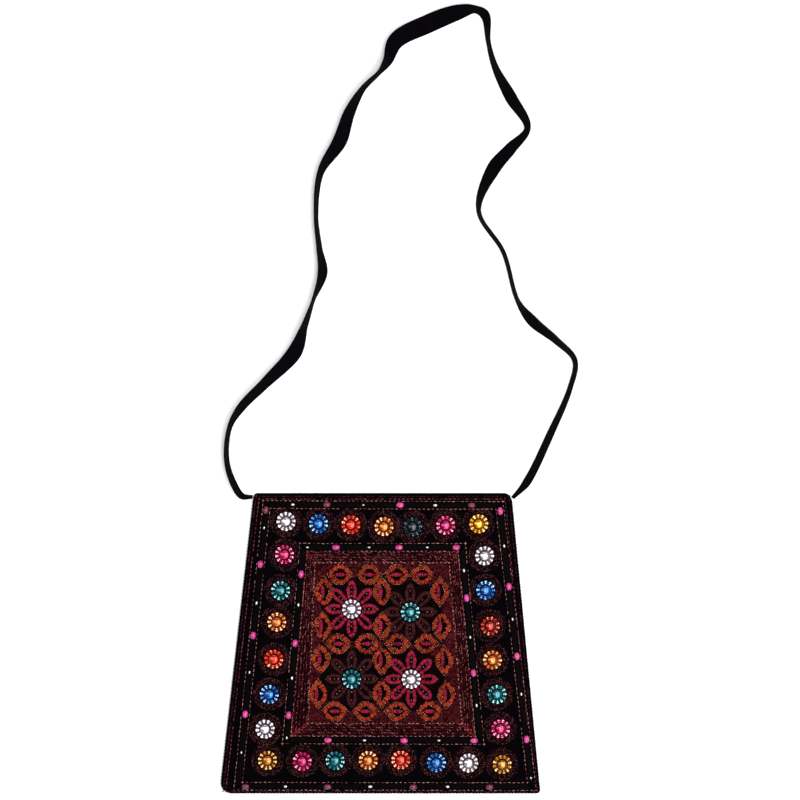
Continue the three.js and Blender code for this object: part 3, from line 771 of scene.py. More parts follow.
satin = satin_finish()
pink_pearl = pearl_finish("pink bead", srgb(140, 16, 84), srgb(204, 66, 142))
plum_pearl = pearl_finish("plum bead", srgb(66, 5, 34), srgb(104, 18, 60))
print("made", satin.name, pink_pearl.name, plum_pearl.name)


# %% Ribbon strips
def strip_grid(outer_start, outer_end, inner_start, inner_end, cell):
    """Two grids, upper and lower, of a ribbon between two mitred ends, with softly rounded long edges."""
    length = float(np.linalg.norm(np.subtract(outer_end, outer_start)))
    steps = np.linspace(0, 1, max(3, int(length / cell)))
    across = np.array([0, 0.04, 0.12, 0.3, 0.5, 0.7, 0.88, 0.96, 1])
    roll = np.array([0.6, 0.2, 0.0, 0.0, 0.0, 0.0, 0.0, 0.2, 0.6]) * RIBBON_THICKNESS
    outer = np.asarray(outer_start) + steps[:, None] * np.subtract(outer_end, outer_start)
    inner = np.asarray(inner_start) + steps[:, None] * np.subtract(inner_end, inner_start)
    flat = outer[:, None, :] + (inner - outer)[:, None, :] * across[None, :, None]
    base = front_surface(flat[..., 0], flat[..., 1]) + PIECE_GAP
    along_waves = np.sin(steps * length / PUCKER_PITCH * math.pi)[:, None]
    pucker = PUCKER_RISE * along_waves * np.sin(math.pi * across)[None, :]
    upper = np.concatenate([flat, (base + RIBBON_THICKNESS - roll + pucker)[..., None]], -1)
    lower = np.concatenate([flat, base[..., None]], -1)
    uv = np.stack(np.broadcast_arrays(steps[:, None] * length, across[None, :] * RIBBON_WIDTH), -1)
    return upper, lower, uv


def bead_rings(middle, heading, lift):
    """A barrel bead along heading, with a round belly and a dimple at each end where its hole is."""
    heading = np.asarray(heading) / np.linalg.norm(heading)
    side = np.cross([0, 0, 1], heading)
    side /= np.linalg.norm(side)
    above = np.cross(heading, side)
    half = [(0.45, 0.2), (0.5, 0.33), (0.49, 0.48), (0.43, 0.65), (0.34, 0.8), (0.22, 0.93), (0.08, 0.99)]
    stations = [(-along, wide) for along, wide in half] + half[::-1]
    turns = np.arange(16) / 16 * 2 * math.pi
    rings = []
    for along, wide in stations:
        circle = np.cos(turns)[:, None] * side + np.sin(turns)[:, None] * above
        rings.append(middle + heading * along * BEAD_LENGTH + circle * wide * BEAD_WIDTH / 2)
    return np.array(rings) + np.array([0, 0, lift])


def cells_uv(rings):
    count, around = rings.shape[:2]
    return np.stack(np.meshgrid(np.linspace(0, 1, count), np.linspace(0, 1, around + 1), indexing="ij"), -1)


def join_solids(body, others):
    """Joins closed bodies to the first by Boolean union, one after another."""
    for other in others:
        union = body.modifiers.new("join", "BOOLEAN")
        union.operation, union.object, union.solver = "UNION", other, "EXACT"
        bpy.context.view_layer.update()
        joined = bpy.data.meshes.new_from_object(body.evaluated_get(bpy.context.evaluated_depsgraph_get()))
        body.modifiers.clear()
        body.data = joined
    for other in others:
        bpy.data.objects.remove(other)
    return body


FRAME_SIDES = {"top": (0, 1), "right": (1, 2), "bottom": (3, 2), "left": (0, 3)}
DIM_BEADS = {("outer", "top", 0), ("outer", "top", 2), ("outer", "left", 0), ("outer", "bottom", 0),
             ("outer", "bottom", 1), ("outer", "bottom", 2), ("outer", "bottom", 3)}


def build_ribbon(which, insets, place_name, beads):
    first, last = FRAME_SIDES[place_name]
    middle = frame_corners(insets)
    outer = frame_corners(insets, RIBBON_WIDTH / 2)
    inner = frame_corners(insets, -RIBBON_WIDTH / 2)
    way = (middle[last] - middle[first]) / np.linalg.norm(middle[last] - middle[first])
    trim = 0.75 * PIECE_GAP * way
    near, far = (outer, inner) if place_name in ("bottom", "left") else (inner, outer)
    grids = strip_grid(near[first] + trim, near[last] - trim, far[first] + trim, far[last] - trim, 3 * MM)
    ribbon = new_object(f"{which}_ribbon_{place_name}_satin", *board(*grids))
    solids = []
    for k, share in enumerate(beads):
        spot = middle[first] + share * (middle[last] - middle[first])
        ahead, behind = spot + way * BEAD_LENGTH / 2, spot - way * BEAD_LENGTH / 2
        slope = float(front_surface(*ahead) - front_surface(*behind)) / BEAD_LENGTH
        lift = PIECE_GAP + RIBBON_THICKNESS + BEAD_WIDTH / 2 - BEAD_SINK
        spot_3d = np.array([*spot, float(front_surface(*spot))])
        rings = bead_rings(spot_3d, [*way, slope], lift)
        bead = new_object("bead", *skin(rings, cells_uv(rings)))
        bead.data.materials.append(satin)
        bead.data.materials.append(pink_pearl)
        bead.data.materials.append(plum_pearl)
        dim = (which, place_name, k) in DIM_BEADS
        bead.data.polygons.foreach_set("material_index", [2 if dim else 1] * len(bead.data.polygons))
        solids.append(bead)
    for material in (satin, pink_pearl, plum_pearl):
        ribbon.data.materials.append(material)
    join_solids(ribbon, solids)
    return keep(ribbon, f"{which}_ribbon_{place_name}", "ribbon")


for which, insets, bead_table in (("outer", OUTER_RIBBON, OUTER_BEADS), ("inner", INNER_RIBBON, INNER_BEADS)):
    for place_name in FRAME_SIDES:
        ribbon = build_ribbon(which, insets, place_name, bead_table[place_name])
        print(ribbon.name, len(ribbon.data.polygons), "faces")

# %% [markdown]
# ## Flower stones
# Each stone is one cast piece of acrylic with a foil back: a glossy dome in the middle, a groove, and
# twelve petals, each a small inner bead and a larger outer one. A polar grid carries that relief as a
# formula of the radius and the turn, so each stone is one smooth closed body. A value on its points says
# how high each point is on a petal or the dome, and the material paints shade into the grooves and round
# the dome's rim and paints highlights on the crests.

# %% Stone shape
STONE_WIDTH = 16 * MM
STONE_HEIGHT = 4.4 * MM
STONE_PETALS = 12
STONE_TURNS = 96
# Radii of the grid's rings, in millimetres
STONE_RADII = (0.7, 1.5, 2.3, 3.0, 3.6, 4.0, 4.3, 4.55, 4.8, 5.05, 5.35, 5.7, 6.1, 6.5, 6.9, 7.25, 7.55, 7.8,
               7.95)
DOME_RADIUS = 4.5
GROOVE_HEIGHT = 1.25
DOME_FOOT = 2.0
DOME_RISE = 2.4
# The two bumps of a petal: how far out, half length, half width and height, in millimetres
PETAL_BUMPS = ((5.4, 0.7, 0.75, 0.9), (6.95, 1.08, 1.32, 1.35))


def stone_relief(radius, turn, sway):
    """Height in millimetres above the stone's base, and how much of a crest a place is, from 0 to 1, which
    the material turns into painted highlight on the crests and painted shade in the grooves. sway moves each
    petal's ridge a little to one side."""
    dome = np.sqrt(np.clip(1 - (radius / DOME_RADIUS) ** 2.6, 0, 1))
    height = GROOVE_HEIGHT + 0 * turn
    crest = 0 * radius + 0 * turn
    petal_turn = 2 * math.pi / STONE_PETALS
    off = (turn + petal_turn / 2) % petal_turn - petal_turn / 2
    number = np.floor((turn + petal_turn / 2) / petal_turn).astype(int) % STONE_PETALS
    for middle, long_half, wide_half, tall in PETAL_BUMPS:
        side = radius * np.sin(off) - sway[number]
        ahead = radius * np.cos(off) - middle
        bulge = np.sqrt(np.clip(1 - (side / wide_half) ** 2 - (ahead / long_half) ** 2, 0, 1))
        height = np.maximum(height, GROOVE_HEIGHT + tall * bulge)
        crest = np.maximum(crest, bulge)
    height = np.where(radius < DOME_RADIUS, DOME_FOOT + DOME_RISE * dome ** 1.4, height)
    # On the dome the value falls off towards its rim, where the material paints a ring of shade.
    crest = np.where(radius < DOME_RADIUS, 0.25 + 0.75 * np.clip(dome * 1.05, 0, 1), crest)
    return height, crest


def stone_outline(turn):
    """Radius share of the scalloped edge."""
    off = (turn * STONE_PETALS / (2 * math.pi) + 0.5) % 1 - 0.5
    return 1 - 0.075 * (2 * np.abs(off)) ** 2.2


def stone_body(name, middle, normal, turn_shift, sway, painted_glint):
    turns = np.arange(STONE_TURNS) / STONE_TURNS * 2 * math.pi
    outline = stone_outline(turns)
    rings, crests, rim = [], [], []
    for radius in STONE_RADII[::-1]:
        soft = 1 - (1 - outline) * np.clip((radius - 6.3) / 1.6, 0, 1)
        reach = radius * soft
        height, crest = stone_relief(radius * np.ones_like(turns), turns, sway)
        edge = np.clip((radius - 7.3) / 0.65, 0, 1)
        fallen = height * (1 - 0.45 * edge ** 2)
        rings.append(np.stack([reach * np.cos(turns), reach * np.sin(turns), fallen], -1))
        petal = np.floor(turns / (2 * math.pi) * STONE_PETALS + 0.5).astype(int) % STONE_PETALS
        # Painted light: the value fades towards the stone's outer edge, painting shade there, and each
        # petal's value is scaled by its own random strength of painted highlight.
        crests.append(crest * (1 - 0.6 * edge) * (painted_glint[petal] if radius > DOME_RADIUS else 1))
    base = 7.3 * outline
    wall = 7.9 * outline
    foot = [np.stack([base * np.cos(turns), base * np.sin(turns), 0 * turns], -1),
            np.stack([wall * np.cos(turns), wall * np.sin(turns), 0 * turns + 0.35], -1)]
    rings = np.array(foot + rings)
    crests = np.concatenate([np.zeros((2, STONE_TURNS)), np.array(crests)])
    local = rings * MM
    cos, sin = math.cos(turn_shift), math.sin(turn_shift)
    shift = np.array([[cos, -sin], [sin, cos]])
    local[..., :2] = local[..., :2] @ shift.T
    tilt = Vector((0, 0, 1)).rotation_difference(Vector(normal)).to_matrix()
    world = local @ np.array(tilt).T + middle
    uv = local[..., :2] / (STONE_WIDTH / 2)
    ring_uv = np.concatenate([uv, uv[:, :1]], 1)
    body = new_object(name, *skin(world, ring_uv))
    set_attribute(body.data, "crest", np.concatenate([crests.ravel(), [0, 1]]))
    return body


print("a stone has", len(STONE_RADII) + 2, "rings of", STONE_TURNS, "points")


# %% Stone finish
def build_foil():
    """Crumpled foil under clear acrylic: fine streaks that fan out from the middle, and broad patches."""
    inputs = {"Vector": ("NodeSocketVector", None), "Turn": ("NodeSocketFloat", 0.0)}
    group, enter, leave = new_group("Foil back", inputs, {
        "Streaks": "NodeSocketFloat", "Patches": "NodeSocketFloat", "Petals": "NodeSocketFloat"})
    shifted = place(group, "ShaderNodeVectorMath", {0: enter.outputs["Vector"]}, operation="ADD")
    turned = place(group, "ShaderNodeCombineXYZ", {2: enter.outputs["Turn"]})
    group.links.new(turned.outputs[0], shifted.inputs[1])
    parts = place(group, "ShaderNodeSeparateXYZ", {0: enter.outputs["Vector"]})
    angle = math_node(group, "ARCTAN2", parts.outputs[1], parts.outputs[0])
    radius = place(group, "ShaderNodeVectorMath", {0: enter.outputs["Vector"]}, operation="LENGTH")
    fan = place(group, "ShaderNodeCombineXYZ", {0: math_node(group, "COSINE", angle),
                                                1: math_node(group, "SINE", angle), 2: enter.outputs["Turn"]})
    streaks = place(group, "ShaderNodeTexNoise", {"Vector": fan.outputs[0], "Scale": 5.0, "Detail": 2.0})
    patches = place(group, "ShaderNodeTexNoise", {"Vector": shifted.outputs[0], "Scale": 2.4, "Detail": 1.0})
    group.links.new(span(group, streaks.outputs["Fac"], 0.38, 0.62), leave.inputs["Streaks"])
    group.links.new(span(group, patches.outputs["Fac"], 0.4, 0.62), leave.inputs["Patches"])
    group.links.new(span(group, radius.outputs["Value"], 0.58, 0.6), leave.inputs["Petals"])
    return group


FOIL = build_foil()
# Painted shade colour of the grooves, the dome's own colour, and the painted highlight colour of the
# petals' crests
STONE_COLOURS = {
    "white": (srgb(70, 60, 68), srgb(226, 216, 224), srgb(255, 250, 255)),
    "blue": (srgb(0, 16, 52), srgb(2, 100, 190), srgb(176, 226, 255)),
    "red_orange": (srgb(92, 6, 0), srgb(232, 46, 4), srgb(255, 198, 158)),
    "amber": (srgb(78, 26, 2), srgb(218, 108, 18), srgb(255, 228, 180)),
    "dark_teal": (srgb(1, 5, 8), srgb(8, 28, 34), srgb(72, 116, 140)),
    "magenta": (srgb(70, 0, 28), srgb(206, 8, 92), srgb(255, 172, 214)),
    "yellow_gold": (srgb(84, 46, 0), srgb(238, 160, 2), srgb(255, 238, 158)),
    "teal": (srgb(0, 26, 32), srgb(2, 112, 120), srgb(180, 244, 246)),
    "dark_red": (srgb(56, 2, 0), srgb(184, 16, 2), srgb(248, 160, 124)),
    "old_gold": (srgb(60, 30, 0), srgb(192, 116, 8), srgb(254, 230, 158)),
}


def acrylic(colour_name, turn):
    painted_groove_shade, dome, petal = STONE_COLOURS[colour_name]
    material, tree, shader = new_material(
        f"acrylic {colour_name} {turn}", dome, Metallic=0.85, Roughness=0.2, Specular_Ior_Level=0.12,
        Coat_Weight=0.8, Coat_Roughness=0.04)
    uv = pattern_place(tree, "UV")
    crest = stored(tree, "crest")
    foil = use_group(tree, FOIL, {"Vector": uv, "Turn": float(turn) * 3.7})
    painted_shade_dome = tuple(0.25 * c for c in dome[:3]) + (1.0,)
    # Painted shade: the dome is painted darker on its side towards the mouth, as it looks in the photograph.
    far_way = place(tree, "ShaderNodeSeparateXYZ", {0: uv}).outputs[1]
    painted_shade_fall = span(tree, far_way, -0.3, 0.42, 1.0, 0.15)
    patchy = math_node(tree, "MULTIPLY_ADD", foil.outputs["Streaks"], 0.35,
                       math_node(tree, "MULTIPLY", foil.outputs["Patches"], 0.25))
    lit = math_node(tree, "MULTIPLY_ADD", painted_shade_fall, 0.6, patchy, clamp=True)
    dome_colour = mix_colours(tree, lit, painted_shade_dome, dome)
    # Painted shade and painted highlight: the dome darkens to the groove colour round its rim, the petals'
    # flanks darken to it too, and the petals' crests are painted towards the pale crest colour.
    dome_shaded = mix_colours(tree, span(tree, crest, 0.6, 0.98), painted_groove_shade, dome_colour)
    petal_body = mix_colours(tree, span(tree, crest, 0.15, 0.6), painted_groove_shade, dome)
    petal_colour = mix_colours(tree, span(tree, crest, 0.6, 0.8), petal_body, petal)
    whole = mix_colours(tree, foil.outputs["Petals"], dome_shaded, petal_colour)
    tree.links.new(whole, shader.inputs["Base Color"])
    tree.links.new(span(tree, foil.outputs["Streaks"], 0, 1, 0.26, 0.14), shader.inputs["Roughness"])
    tree.links.new(span(tree, crest, 0.55, 0.9, 0.0, 0.8), shader.inputs["Coat Weight"])
    # The foil lies close under the dome and shows like metal there, and less so under the petals.
    tree.links.new(span(tree, foil.outputs["Petals"], 0, 1, 0.85, 0.25), shader.inputs["Metallic"])
    raise_surface(tree, shader, foil.outputs["Streaks"], 0.05 * MM, 0.5)
    return material


print(len(STONE_COLOURS), "stone colours")

# %% Set the stones
ROW_COLOURS = {
    "top": ("white", "blue", "red_orange", "amber", "dark_teal", "magenta", "yellow_gold"),
    "bottom": ("old_gold", "magenta", "teal", "amber", "red_orange", "blue", "white", "old_gold"),
    "left": ("magenta", "teal", "amber", "red_orange", "blue", "white"),
    "right": ("white", "blue", "dark_red", "amber", "teal", "magenta"),
    "centre": ("white", "teal", "teal", "white"),
}
SLOT_OF = {name: f"stone_{name}" for name in STONE_COLOURS}
FOIL_TURNS = 3
acrylics = {}
stone_places = {}
rng = np.random.default_rng(11)
for row_name, colours in ROW_COLOURS.items():
    for k, colour_name in enumerate(colours):
        node = f"stone_{row_name}_{k + 1}"
        low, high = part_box(node)
        x, y = (low[0] + high[0]) / 2, (low[1] + high[1]) / 2
        normal = surface_normal(x, y, STONE_WIDTH / 4)
        x, y = x - normal[0] * STONE_HEIGHT / 2, y - normal[1] * STONE_HEIGHT / 2
        middle = np.array([x, y, float(front_surface(x, y))]) + normal * PIECE_GAP
        turn = k % FOIL_TURNS
        if (colour_name, turn) not in acrylics:
            acrylics[colour_name, turn] = acrylic(colour_name, turn)
        # The last random values give each petal its own strength of painted highlight.
        stone = stone_body(f"{node}_acrylic", middle, normal, rng.uniform(0, 2 * math.pi / STONE_PETALS),
                           rng.uniform(-0.2, 0.2, STONE_PETALS), rng.uniform(0.6, 1.0, STONE_PETALS))
        stone_places[node] = (x, y)
        keep(stone, node, SLOT_OF[colour_name], acrylics[colour_name, turn])
print(len(stone_places), "stones of", len(stone.data.polygons), "faces")

# %% [markdown]
# ## Stitches from one tree
# Nearly all of the embroidery is short stitches that follow a line: running stitch beside the ribbons,
# slanted stitch in the band, and satin stitch across the rings and petals. One Geometry Nodes tree makes
# them all. It turns guide lines into points a pitch apart, nudges and turns each point by a seeded random
# amount, sets one thread form on each, and ends in Realize Instances and Set Material.

# %% The form of one stitch
def thread_form(name, stations, sides):
    """A stitch one unit long, wide and high, lying along x, drawn in where it enters the cloth."""
    turns = np.arange(sides) / sides * 2 * math.pi
    rings = [np.stack([np.full(sides, along), np.cos(turns) * wide / 2, np.sin(turns) * wide / 2], -1)
             for along, wide in stations]
    form = new_object(name, *skin(np.array(rings), cells_uv(np.array(rings))))
    return form


LONG_FORM = thread_form("long stitch form", ((-0.47, 0.5), (-0.3, 0.95), (0.3, 0.95), (0.47, 0.5)), 5)
SHORT_FORM = thread_form("short stitch form", ((-0.4, 0.65), (0.0, 1.0), (0.4, 0.65)), 4)


print("stitch forms:", LONG_FORM.name, SHORT_FORM.name)


# %% The stitch tree
def named_value(tree, name, kind):
    return place(tree, "GeometryNodeInputNamedAttribute", {"Name": name}, data_type=kind).outputs[0]


def build_stitch_tree():
    real, whole = "NodeSocketFloat", "NodeSocketInt"
    inputs = {
        "Geometry": ("NodeSocketGeometry", None), "Form": ("NodeSocketObject", None), "Pitch": (real, 0.003),
        "Length": (real, 0.002), "Width": (real, 0.0006), "Height": (real, 0.0005), "Slant": (real, 0.0),
        "Slant Spread": (real, 0.05), "Side Spread": (real, 0.0), "Length Spread": (real, 0.1),
        "Missing": (real, 0.0), "Seed": (whole, 1), "Thread": ("NodeSocketMaterial", None),
    }
    tree, enter, leave = new_group("Stitches along guides", inputs, {"Geometry": "NodeSocketGeometry"},
                                   "GeometryNodeTree")
    given = enter.outputs

    def random(low, high, shift):
        feeds = {2: low, 3: high, "Seed": math_node(tree, "ADD", given["Seed"], float(shift))}
        return place(tree, "FunctionNodeRandomValue", feeds, data_type="FLOAT").outputs[1]

    lines = place(tree, "GeometryNodeMeshToCurve", {0: given["Geometry"]})
    spots = place(tree, "GeometryNodeCurveToPoints", {"Curve": lines.outputs[0], "Length": given["Pitch"]},
                  mode="LENGTH")
    up_way = named_value(tree, "up_way", "FLOAT_VECTOR")
    reach = named_value(tree, "reach", "FLOAT")
    feeds = {0: up_way, 1: spots.outputs["Tangent"]}
    side = place(tree, "ShaderNodeVectorMath", feeds, operation="CROSS_PRODUCT")
    drift = math_node(tree, "MULTIPLY", random(-1.0, 1.0, 1), given["Side Spread"])
    nudge = place(tree, "ShaderNodeVectorMath", {0: side.outputs[0], "Scale": drift}, operation="SCALE")
    along_line = place(tree, "FunctionNodeAlignRotationToVector", {"Vector": spots.outputs["Tangent"]},
                       axis="X")
    upright = place(tree, "FunctionNodeAlignRotationToVector",
                    {"Rotation": along_line.outputs[0], "Vector": up_way}, axis="Z", pivot_axis="X")
    wobble = math_node(tree, "MULTIPLY", random(-1.0, 1.0, 2), given["Slant Spread"])
    turn = place(tree, "FunctionNodeAxisAngleToRotation",
                 {"Axis": (0.0, 0.0, 1.0), "Angle": math_node(tree, "ADD", given["Slant"], wobble)})
    rotation = place(tree, "FunctionNodeRotateRotation",
                     {"Rotation": upright.outputs[0], "Rotate By": turn.outputs[0]}, rotation_space="LOCAL")
    varied = math_node(tree, "MULTIPLY_ADD", random(-1.0, 1.0, 3), given["Length Spread"], 1.0)
    length = math_node(tree, "MULTIPLY", math_node(tree, "MULTIPLY", given["Length"], varied), reach)
    size = place(tree, "ShaderNodeCombineXYZ", {0: length, 1: given["Width"], 2: given["Height"]})
    form = place(tree, "GeometryNodeObjectInfo", {"Object": given["Form"]})
    sewn = math_node(tree, "GREATER_THAN", random(0.0, 1.0, 4), given["Missing"])
    moved = place(tree, "GeometryNodeSetPosition",
                  {"Geometry": spots.outputs["Points"], "Offset": nudge.outputs[0]})
    set_down = place(tree, "GeometryNodeInstanceOnPoints", {
        "Points": moved.outputs[0], "Selection": sewn, "Instance": form.outputs["Geometry"],
        "Rotation": rotation.outputs[0], "Scale": size.outputs[0]})
    shaded = place(tree, "GeometryNodeStoreNamedAttribute", {
        "Geometry": set_down.outputs[0], "Name": "shade", "Value": random(0.0, 1.0, 5)},
        data_type="FLOAT", domain="INSTANCE")
    real_mesh = place(tree, "GeometryNodeRealizeInstances", {"Geometry": shaded.outputs[0]})
    dyed = place(tree, "GeometryNodeSetMaterial",
                 {"Geometry": real_mesh.outputs[0], "Material": given["Thread"]})
    tree.links.new(dyed.outputs[0], leave.inputs["Geometry"])
    return tree


STITCH_TREE = build_stitch_tree()
print("stitch tree has", len(STITCH_TREE.nodes), "nodes")


# %% Guides and sewing
def guide(flat, closed=False, lift=0.0, reach=None):
    """A guide line on the cloth, from flat places in metres."""
    flat = np.asarray(flat, float)
    reach = np.ones(len(flat)) if reach is None else reach
    return {"flat": flat, "closed": closed, "lift": lift, "reach": reach}


def straight(start, end, lift=0.0, step=3 * MM, inset=0.0):
    start, end = np.asarray(start, float), np.asarray(end, float)
    length = np.linalg.norm(end - start)
    ends = np.linspace(inset / length, 1 - inset / length, max(2, int(length / step)))
    return guide(start + ends[:, None] * (end - start), lift=lift)


def around(corners, lift=0.0, inset=0.0):
    """The four sides of a quadrilateral as guides."""
    return [straight(corners[k], corners[(k + 1) % 4], lift, inset=inset) for k in range(4)]


def run_tree(name, tree, mesh, values):
    """Puts a Geometry Nodes tree on a mesh, sets its named inputs and keeps the result as a plain mesh."""
    piece = bpy.data.objects.new(name, mesh)
    scene.collection.objects.link(piece)
    modifier = piece.modifiers.new(name, "NODES")
    modifier.node_group = tree
    sockets = {item.name: item.identifier for item in tree.interface.items_tree if item.in_out == "INPUT"}
    for key, value in values.items():
        modifier[sockets[key]] = value
    bpy.context.view_layer.update()
    result = bpy.data.meshes.new_from_object(piece.evaluated_get(bpy.context.evaluated_depsgraph_get()))
    piece.modifiers.clear()
    piece.data = result
    result.name = name
    result.polygons.foreach_set("use_smooth", [True] * len(result.polygons))
    return piece


def sew(name, guides, slot_name, material, form, pitch, length, width, height=None, slant=0.0,
        slant_spread=0.06, side_spread=0.0, length_spread=0.12, missing=0.0, seed=1):
    """Sews stitches of one thread along guides. Sizes are in millimetres, the slant is in degrees."""
    points, edges, ups, reaches = [], [], [], []
    for line in guides:
        flat = line["flat"]
        first = len(points)
        z = cloth_top(flat[:, 0], flat[:, 1]) + line["lift"]
        points += [(px, py, pz) for (px, py), pz in zip(flat, z)]
        ups += list(surface_normal(flat[:, 0], flat[:, 1]))
        reaches += list(line["reach"])
        edges += [(first + k, first + k + 1) for k in range(len(flat) - 1)]
        if line["closed"]:
            edges.append((first + len(flat) - 1, first))
    mesh = bpy.data.meshes.new(name)
    mesh.from_pydata(points, edges, [])
    set_attribute(mesh, "up_way", ups, "FLOAT_VECTOR")
    set_attribute(mesh, "reach", reaches)
    piece = run_tree(name, STITCH_TREE, mesh, {
        "Form": form, "Pitch": pitch * MM, "Length": length * MM, "Width": width * MM,
        "Height": (height or 0.8 * width) * MM, "Slant": math.radians(slant), "Slant Spread": slant_spread,
        "Side Spread": side_spread * MM, "Length Spread": length_spread, "Missing": missing, "Seed": seed,
        "Thread": material})
    keep(piece, None, slot_name)
    print(name, len(piece.data.polygons), "faces")
    return piece


# %% [markdown]
# ## Running stitches
# Fine running stitches hold the ribbons and the edges: a tan line on each side of each ribbon, a rose line
# and a dark line between the outer ribbon and the seam. They are machine made but not quite even, and the
# thread is a little brighter where it turns up.

# %% Running stitches
tan_thread = thread("tan thread", srgb(80, 34, 32), srgb(196, 138, 124), turns=3, bias=1.1)
rose_thread = thread("rose thread", srgb(58, 12, 20), srgb(150, 72, 80), turns=3, bias=1.3)
dark_thread = thread("dark thread", srgb(30, 4, 12), srgb(96, 30, 50), turns=3, bias=1.4)

ribbon_frames = {"outer": frame_corners(OUTER_RIBBON), "inner": frame_corners(INNER_RIBBON)}
BESIDE_RIBBON = 3.1 * MM
tan_lines = []
for corners in ribbon_frames.values():
    for inset in (-BESIDE_RIBBON, BESIDE_RIBBON):
        tan_lines += around(shrink(corners, inset), lift=0.1 * MM)
sew("tan_running_stitches", tan_lines, "thread_tan", tan_thread, LONG_FORM, pitch=3.6, length=2.3, width=0.4,
    side_spread=0.15, length_spread=0.3, missing=0.03, seed=3)

SEAM_INSET = ((4.8, 4.6), (5.6, 4.6), (5.0, 1.6), (4.8, 1.6))
rose_corners = frame_corners(SEAM_INSET)
EDGE_INSET = ((2.2, 2.6), (2.4, 2.6), (2.2, 1.2), (2.6, 1.6))
edge_corners = frame_corners(EDGE_INSET)
rose_sides = around(rose_corners, lift=0.1 * MM)
rose_lines = [rose_sides[0], rose_sides[1], rose_sides[3]]
sew("rose_running_stitches", rose_lines, "thread_rust", rose_thread, LONG_FORM,
    pitch=3.4, length=2.3, width=0.5, side_spread=0.15, length_spread=0.25, missing=0.05, seed=5)
edge_sides = around(edge_corners, lift=0.05 * MM)
sew("dark_running_stitches", edge_sides, "thread_maroon", dark_thread, LONG_FORM,
    pitch=3.2, length=2.2, width=0.5, side_spread=0.15, length_spread=0.3, missing=0.1, seed=7)

# %% [markdown]
# ## Stitched discs under the border stones
# Each border stone sits in the middle of a round disc of tiny dark stitches, worked round and round. Rings
# of guides round each stone carry short stitches at uneven angles, most of them dark plum and a few paler.

# %% Discs
disc_thread = thread("plum thread", srgb(18, 1, 2), srgb(146, 76, 76), turns=2, bias=2.8)
DISC_RINGS = (8.5, 9.4, 10.3, 11.2, 12.1, 12.8)


def circle(x, y, radius, steps=40):
    turns = np.arange(steps) / steps * 2 * math.pi
    return np.stack([x + radius * np.cos(turns), y + radius * np.sin(turns)], -1)


disc_guides = []
for node, (x, y) in stone_places.items():
    if "centre" not in node:
        disc_guides += [guide(circle(x, y, radius * MM), closed=True) for radius in DISC_RINGS]
sew("disc_stitches", disc_guides, "thread_brown", disc_thread, SHORT_FORM, pitch=1.4, length=1.15, width=0.36,
    slant=25, slant_spread=3.0, side_spread=0.5, length_spread=0.4, seed=9)

# %% [markdown]
# ## Band round the field
# The square's band is worked in five rows of short slanted stitches, dull rose and tan on dark maroon. Its
# sides meet in mitres, which two lines of brighter red stitches mark. The rows are made by moving from the
# band's outer corners to the field's corners in equal shares.

# %% Band rows
band_thread = thread("band thread", srgb(34, 2, 7), srgb(166, 84, 88), turns=3, bias=2.3)
BAND_ROWS = 5
band_level, band_upright = [], []
for r in range(BAND_ROWS):
    share = (r + 0.55) / BAND_ROWS
    corners = SQUARE_OUTER + share * (FIELD_EDGE - SQUARE_OUTER)
    sides = around(corners, lift=0.1 * MM, inset=0.6 * MM)
    band_level += [sides[0], straight(corners[3], corners[2], 0.1 * MM, inset=0.6 * MM)]
    band_upright += [straight(corners[3], corners[0], 0.1 * MM, inset=0.6 * MM),
                     straight(corners[2], corners[1], 0.1 * MM, inset=0.6 * MM)]
sew("band_stitches_level", band_level, "thread_rust", band_thread, LONG_FORM,
    pitch=2.0, length=1.9, width=0.55, slant=-34, slant_spread=0.35,
    side_spread=0.3, length_spread=0.35, missing=0.08, seed=13)
sew("band_stitches_upright", band_upright, "thread_rust", band_thread, LONG_FORM,
    pitch=1.9, length=1.7, width=0.55, slant=-26, slant_spread=0.35,
    side_spread=0.3, length_spread=0.35, missing=0.08, seed=15)

mitre_thread = thread("mitre thread", srgb(70, 8, 12), srgb(168, 48, 48), turns=3)
# Millimetres from a mitre to each of its two lines of stitches
MITRE_HALF = 0.75
mitre_guides = []
for k, (outer, field) in enumerate(zip(SQUARE_OUTER, FIELD_EDGE)):
    way = (field - outer) / np.linalg.norm(field - outer)
    beside = np.array([-way[1], way[0]]) * MM
    # The two upper mitres have only a short block of stitches at their outer corner.
    end = outer + (0.45 if k < 2 else 1.0) * (field - outer)
    for side in (-MITRE_HALF, MITRE_HALF):
        mitre_guides.append(straight(outer + side * beside, end + side * beside, 0.35 * MM))
sew("mitre_stitches", mitre_guides, "thread_crimson", mitre_thread, LONG_FORM,
    pitch=1.1, length=1.4, width=0.42, slant=24, slant_spread=0.3, side_spread=0.15, seed=17)
field_edge_guides = around(FIELD_EDGE, lift=0.15 * MM)
sew("field_edge_stitches", field_edge_guides, "thread_tan", tan_thread, LONG_FORM,
    pitch=3.2, length=2.0, width=0.5, side_spread=0.15, length_spread=0.3, missing=0.08, seed=19)

# %% [markdown]
# ## Rings
# The field is framed and crossed by pointed rings of rust satin stitch, each with a crimson heart on black.
# The satin threads lie across the band, so their guide is the band's middle line and the stitches stand
# square to it. Tiny pale stitches dot the outline. A lying ring is pointed at its left and right ends and a
# standing one at top and bottom.

# %% Rings
rust_thread = thread("rust thread", srgb(48, 3, 1), srgb(172, 56, 28), turns=5, roughness=0.5, bias=1.2)
crimson_thread = thread("crimson thread", srgb(58, 3, 14), srgb(158, 30, 62), turns=5)
pale_thread = thread("pale thread", srgb(120, 48, 24), srgb(232, 172, 136), turns=2, bias=0.9)
RING_BAND = 3.0


